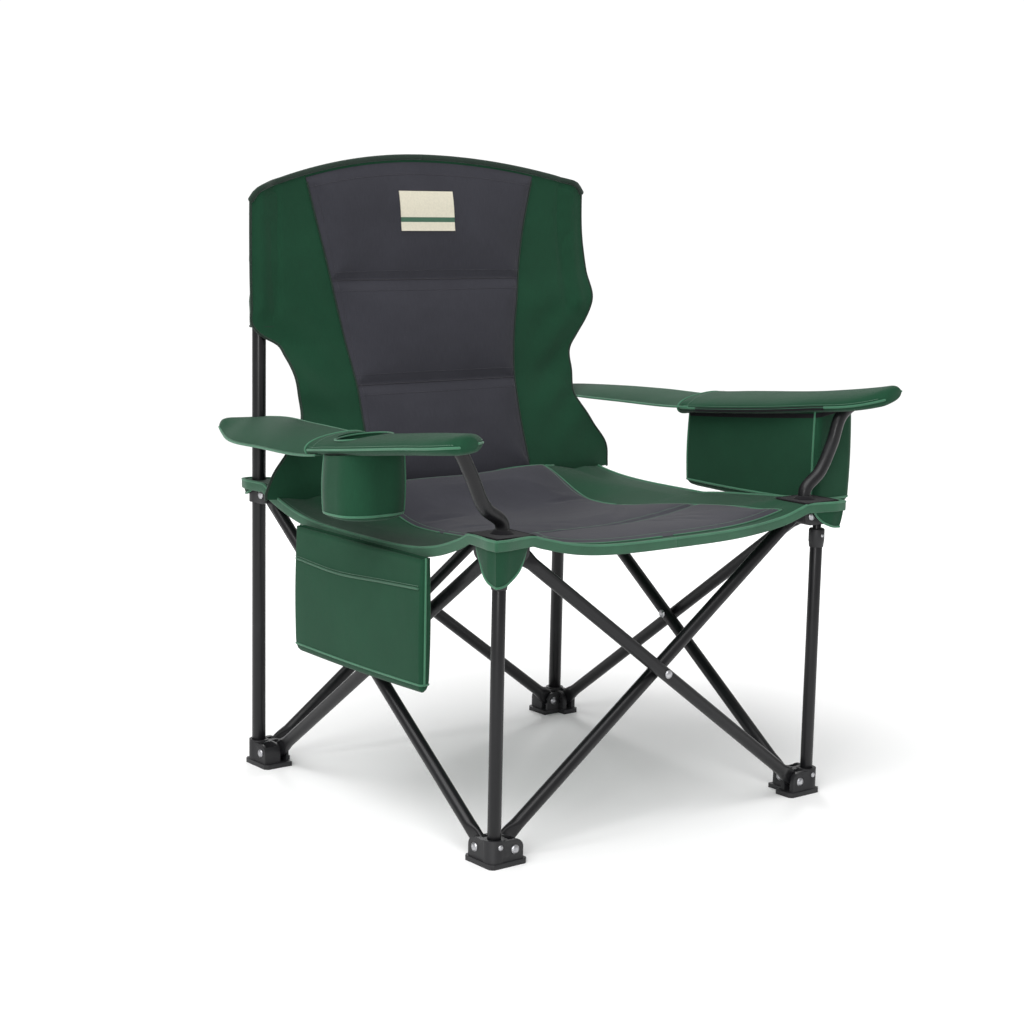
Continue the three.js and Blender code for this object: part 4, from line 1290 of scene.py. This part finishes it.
def arm_section(side, y, part):
    """Closed section of an armrest at y: a pinched pad behind, and a deeper sleeve in front."""
    sx = SIDES[side]
    inner_x, outer_x, inner_z, outer_z = (
        float(spline(np.array(ARM_SHAPES[side, part], float) * MM, y, c)) for c in (1, 2, 3, 4))
    ends = 1.0
    for edge in (y - ARM_TIP[side] + 1 * MM, 347 * MM - y):
        ends = min(ends, max(0.15, math.sqrt(max(0.0, 1 - max(0.0, 1 - edge / (16 * MM)) ** 2))))
    half = ARM_HALF[part]
    middle = np.array([(inner_x + outer_x) / 2, (inner_z + outer_z) / 2 - half - 1 * MM])
    across = np.array([outer_x - inner_x, outer_z - inner_z]) / 2
    lean = np.array([-across[1], across[0]]) / np.hypot(*across)
    rise = half * (0.35 + 0.65 * ends)
    width = mix(0.8, 1.0, ends)
    turn = full_turn(ARM_SIDES)
    a, _ = squared_ring(turn, 2.4 if part == "rear" else 3.2, 1, 1)
    b = np.sin(turn)
    if part == "rear":
        b = b * (1 - 0.35 * np.abs(a) ** 4)
    pleat = 0.7 * MM * math.sin(y / (9 * MM)) * np.exp(-abs(y - ARM_SPLIT) / (40 * MM)) * np.sin(3 * turn)
    plane = middle + np.outer(a * width, across) + np.outer(b * rise + pleat, lean)
    plane[:, 1] += 2.5 * MM * np.cos(a * math.pi / 2) * np.maximum(b, 0)
    return np.column_stack([sx * plane[:, 0], np.full(ARM_SIDES, y), plane[:, 1]])


def armrest_shell(name, side, part):
    if part == "front":
        run = mix(ARM_TIP[side], ARM_SPLIT + 5 * MM, np.linspace(0, 1, 72) ** 1.25)
    else:
        run = np.linspace(ARM_SPLIT - 22 * MM, 346 * MM, 66)
    rings = np.array([arm_section(side, y, part) for y in run])
    made = Piece(name)
    add_rings(made, rings, GREEN)
    trim = Piece(f"{name}_piping")
    for index in (0, ARM_INNER_EDGE):
        add_strip(trim, rings[1:-1, index], 3.4 * MM, 3.4 * MM, PIPING, sides=8)
    if part == "front" and side == "right":
        near = [ring[ARM_INNER_EDGE] for ring in rings if -290 * MM < ring[0, 1] < -25 * MM]
        add_strip(trim, np.array(near) - np.array([0.6 * MM, 0, 1 * MM]), 2 * MM, 6 * MM, WEBBING, power=4)
    if part == "front":
        add_strip(trim, closed(rings[-1]), 3.2 * MM, 3.2 * MM, PIPING, up=(0, 1, 0), sides=8, dome=False)
    return made.build(), trim, rings


def cut_round_hole(piece, spot, radius, low, high):
    """Cuts an upright round hole through a piece."""
    tool = Piece("hole_tool")
    add_rings(tool, turned([(radius, low), (radius, high)], 64, (spot[0], spot[1], 0)), GREEN)
    cutter = tool.build()
    modifier = piece.modifiers.new("hole", "BOOLEAN")
    modifier.operation = "DIFFERENCE"
    modifier.solver = "EXACT"
    modifier.object = cutter
    baked(piece).set_sharp_from_angle(angle=math.radians(60))
    bpy.data.objects.remove(cutter)


def armrests():
    for side, sx in SIDES.items():
        piece, trim, rings = armrest_shell(f"armrest_front_{side}_pad", side, "front")
        if side == "left":
            cut_round_hole(piece, centre("cup_holder"), CUP_RADIUS, 0.5, 0.6)
        ride_front_arm(piece, side, "green_fabric", f"armrest_front_{side}")
        ride_front_arm(trim.build(), side, "green_fabric")
        lines = [rings[4:-2, column] + np.array([0, 0, 0.5 * MM]) for column in ARM_STITCHES]
        lines.append(rings[-4, 2:21] + np.array([0, 0, 0.4 * MM]))
        ride_front_arm(stitches(f"armrest_front_{side}_stitches", lines), side, "green_fabric")
        piece, trim, rings = armrest_shell(f"armrest_rear_{side}_pad", side, "rear")
        ring = POST_RADIUS + 0.4 * MM
        level = rings[POST_RING, ARM_TOP, 2] - 1 * MM
        binding = ((0, -16), (5, -16), (5, 2), (3, 4), (0, 4))
        profile = [(ring + out * MM, level + up * MM) for out, up in binding]
        add_rings(trim, turned(profile, 32, (sx * SPAN, SPAN, 0)), WEBBING, loop=True)
        bend_arm(piece, side, sx, f"armrest_rear_{side}")
        bend_arm(trim.build(), side, sx)
        lines = [rings[4:-4, column] + np.array([0, 0, 0.4 * MM]) for column in ARM_STITCHES]
        bend_arm(stitches(f"armrest_rear_{side}_stitches", lines), side, sx)


def bend_arm(piece, side, sx, *nodes):
    """Hides the rear armrest's own nodes and bakes the piece's place into its mesh; the piece is tied to no
    body.
    """
    if nodes:
        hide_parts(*nodes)
    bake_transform(piece)


def ride_front_arm(piece, side, slot, *nodes, keep=ARM_KEEP):
    """Cloth round an arm tube goes with its hub."""
    dress(piece, f"front_{side}_hub", slot, *nodes)
    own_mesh(piece)


def armrest_underside(side, x, y):
    """Level of the underside of an armrest above a point."""
    table = np.array(ARM_SHAPES[side, "front"], float) * MM
    near, far, near_z, far_z = (spline(table, y, column) for column in (1, 2, 3, 4))
    return mix(near_z, far_z, (np.abs(x) - near) / (far - near)) - 2 * ARM_HALF["front"] + 3 * MM


# ---------------------------------------------------------------- bags

def rounded_ring(half_x, half_y, corner, steps=12):
    """Plan outline of a round-cornered bag, with points spaced round its corners and along its walls."""
    arcs = []
    for quadrant, (cx, cy) in enumerate(((1, 1), (-1, 1), (-1, -1), (1, -1))):
        angle = (quadrant + np.linspace(0, 1, steps)) * math.pi / 2
        middle = np.array([cx * (half_x - corner), cy * (half_y - corner)])
        arcs.append(middle + corner * np.column_stack([np.cos(angle), np.sin(angle)]))
    along = np.linspace(0, 1, steps)[1:-1, None]
    walls = [mix(arc[-1], after[0], along) for arc, after in zip(arcs, arcs[1:] + arcs[:1])]
    return np.concatenate([part for pair in zip(arcs, walls) for part in pair])


def bag(name, node, corner, wall, sag, roof, bulge):
    """An open bag, as one closed skin over its outside, rim and lining. roof gives its rim's level."""
    low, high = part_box(node)
    spot, half = centre(node), half_size(node)

    def ring(share, inset):
        swell = bulge * math.sin(math.pi * min(1.0, share * 1.05))
        round_off = max(0.0, 1 - share / 0.10)
        pull = (1 - math.sqrt(max(0.0, 1 - round_off**2))) * min(corner, 10 * MM)
        hx, hy = half.x - inset - pull, half.y - inset - pull
        plan = rounded_ring(hx, hy, min(corner - inset * 0.5, hx - 0.5 * MM))
        plan = plan * np.array([1 + swell / half.x, 1 + 0.4 * swell / half.y])
        x, y = plan[:, 0] + spot.x, plan[:, 1] + spot.y
        droop = sag * (1 - share) * np.cos(np.clip(plan[:, 1] / half.y, -1, 1) * math.pi / 2)
        return np.column_stack([x, y, mix(low.z + inset, roof(x, y), share) - droop * 0.5])

    shares = np.concatenate([np.linspace(0, 0.1, 6), np.linspace(0.16, 1, 22)])
    skins = []
    for inset in (wall, 0):
        rings = [ring(share, inset) for share in shares]
        floor = [mix(rings[0].mean(axis=0), rings[0], k) for k in (0.02, 0.3, 0.6, 0.85)]
        skins.append(np.array(floor + rings))
    made = Piece(name)
    add_rings(made, np.concatenate([skins[0], skins[1][::-1]]), GREEN)
    return made, skins[1][4:]


def closed(ring):
    return np.concatenate([ring, ring[:2]])


def cup_holder():
    roof = partial(armrest_underside, "left")
    made, outer = bag("cup_holder_bag", "cup_holder", CUP_CORNER, 2.2 * MM, 3 * MM, roof, 2.5 * MM)
    spot = centre("cup_holder")
    add_strip(made, closed(outer[4]), 3.6 * MM, 3.6 * MM, PIPING, sides=8, dome=False)
    for heading in ((-0.782, 0.623), (0.782, -0.623)):
        column = int(np.argmax((outer[10, :, :2] - spot.xy) @ np.array(heading)))
        add_strip(made, outer[4:, column], 3.6 * MM, 3.6 * MM, PIPING, up=(*heading, 0), sides=8)
    piece = made.build()
    ride_front_arm(piece, "left", "green_fabric", "cup_holder")
    turn = np.linspace(0, 2 * math.pi, 73)
    x, y = spot.x + CUP_RADIUS * np.cos(turn), spot.y + CUP_RADIUS * np.sin(turn)
    mouth = np.column_stack([x, y, armrest_underside("left", x, y) + 2 * ARM_HALF["front"] - 4.6 * MM])
    ring = Piece("cup_mouth_binding")
    add_strip(ring, mouth, 3.2 * MM, 2.6 * MM, PIPING, sides=10, dome=False)
    ride_front_arm(ring.build(), "left", "green_fabric")


def cooler_bag():
    roof = partial(armrest_underside, "right")
    made, outer = bag("cooler_bag_body", "cooler_bag", 13 * MM, 3.5 * MM, 5 * MM, roof, 2 * MM)
    add_strip(made, closed(outer[4]), 3.8 * MM, 3.8 * MM, PIPING, sides=8, dome=False)
    plan = outer[10, :, :2] - centre("cooler_bag").xy
    for sx, sy in ((-1, -1), (-1, 1), (1, -1), (1, 1)):
        column = int(np.argmax(plan @ np.array([sx * 2.0, sy])))
        add_strip(made, outer[4:, column], 3.4 * MM, 3.4 * MM, PIPING, up=(sx, sy, 0), sides=8)
    add_strip(made, closed(outer[-2]), 1.8 * MM, 7 * MM, WEBBING, sides=10, power=4, dome=False)
    piece = made.build()
    ride_front_arm(piece, "right", "green_fabric", "cooler_bag")


def magazine_pocket():
    low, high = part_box("magazine_pocket")

    def roof(x, y):
        return high.z + 6 * MM + 0 * x

    made, outer = bag("magazine_pocket_bag", "magazine_pocket", 6 * MM, 1.6 * MM, 4 * MM, roof, 2 * MM)
    add_strip(made, closed(outer[3]), 3.2 * MM, 3.2 * MM, PIPING, sides=8, dome=False)
    ends = outer[10, :, 1]
    for column in (int(np.argmax(ends)), int(np.argmin(ends))):
        add_strip(made, outer[3:, column], 3.4 * MM, 3.4 * MM, PIPING, up=(1, 0, 0), sides=8)
    flap = through([(low.x - 2.2 * MM, mix(low.y, high.y, t), high.z - drop * MM)
                    for t, drop in ((0.02, 35), (0.3, 40), (0.65, 46), (0.98, 41))], 60)
    add_strip(made, flap, 2.4 * MM, 3.6 * MM, HEM_TAPE, up=(0, 0, 1), sides=8)
    piece = made.build()
    ride_front_arm(piece, "left", "green_fabric", "magazine_pocket", keep=POCKET_KEEP)
    rows = stitches("magazine_pocket_stitches", [flap + np.array([-1.0 * MM, 0, 4 * MM])])
    ride_front_arm(rows, "left", "green_fabric", keep=POCKET_KEEP)


# ---------------------------------------------------------------- camera, light and floor

LENS_MM, SENSOR_MM = 71.8, 36
CAMERA_PLACE = (-1.9250, -2.3638, 0.9076)
CAMERA_ANGLES = (-38.54, 9.22, 1.188)


def camera():
    azimuth, elevation, roll = (math.radians(angle) for angle in CAMERA_ANGLES)
    back_way = Vector((math.sin(azimuth) * math.cos(elevation), -math.cos(azimuth) * math.cos(elevation),
                       math.sin(elevation)))
    right = Vector((math.cos(azimuth), math.sin(azimuth), 0))
    up = back_way.cross(right)
    side = math.cos(roll) * right + math.sin(roll) * up
    top = -math.sin(roll) * right + math.cos(roll) * up
    lens = bpy.data.cameras.new("studio_camera")
    lens.lens = LENS_MM
    lens.sensor_width = SENSOR_MM
    matrix = Matrix((side, top, back_way)).transposed().to_4x4()
    matrix.translation = Vector(CAMERA_PLACE)
    made = placed("studio_camera", lens)
    made.matrix_world = matrix
    bpy.context.scene.camera = made


def aimed_light(name, kind, direction, energy, place=(0, 0, 0)):
    """A light whose back faces along a direction."""
    data = bpy.data.lights.new(name, kind)
    data.energy = energy
    made = placed(name, data)
    made.location = place
    made.rotation_mode = "QUATERNION"
    made.rotation_quaternion = Vector(direction).to_track_quat("Z", "Y")
    return data


def area_light(name, place, target, size, power):
    """A round softbox at a place, aimed at a target."""
    data = aimed_light(name, "AREA", Vector(place) - Vector(target), power, place)
    data.shape = "DISK"
    data.size = size


WORLD_LIGHT, BACKDROP_WHITE = 0.5, 1.05


def white_world():
    """A soft even light, with a backdrop that the camera sees as white."""
    world = bpy.data.worlds.new("studio")
    world.use_nodes = True
    tree, lit, white = world.node_tree, world.node_tree.nodes["Background"], (1, 1, 1, 1)
    fill_socket(tree, lit, "Color", white)
    fill_socket(tree, lit, "Strength", WORLD_LIGHT)
    seen = add_node(tree, "ShaderNodeBackground", Color=white, Strength=BACKDROP_WHITE)
    rays = add_node(tree, "ShaderNodeLightPath").outputs["Is Camera Ray"]
    choose = add_node(tree, "ShaderNodeMixShader", i0=rays, i1=lit.outputs[0], i2=seen.outputs[0])
    fill_socket(tree, tree.nodes["World Output"], "Surface", choose.outputs[0])
    bpy.context.scene.world = world


def studio():
    white_world()
    bpy.context.scene.view_settings.view_transform = "Standard"
    sky = aimed_light("overhead_softbox", "SUN", (-0.6, -0.25, 1), 2.3)
    sky.angle = math.radians(55)
    area_light("edge_strip", (1.6, 2.4, 2.0), (0, 0, 0.6), 1.2, 30)
    area_light("front_strip", (-2.6, -2.2, 1.2), (0, 0, 0.4), 0.8, 22)
    mesh = bpy.data.meshes.new("floor")
    reach = 14
    corners = [(-reach, -reach, 0), (reach, -reach, 0), (reach, reach, 0), (-reach, reach, 0)]
    mesh.from_pydata(corners, [], [(0, 1, 2, 3)])
    paint = Shader("studio_floor", tone(252, 252, 252), 0.9)
    cloudy = paint.noise(paint.place("Object"), 0.8, 1.0)
    mesh.materials.append(paint.finish(Roughness=paint.level(cloudy, 0.85, 0.95)))
    placed("floor", mesh)


camera()
studio()
uprights()
cross_tubes()
arm_tubes()
castings()
rivets()
seat()
corner_patches()
corner_pockets()
back()
armrests()
cup_holder()
cooler_bag()
magazine_pocket()
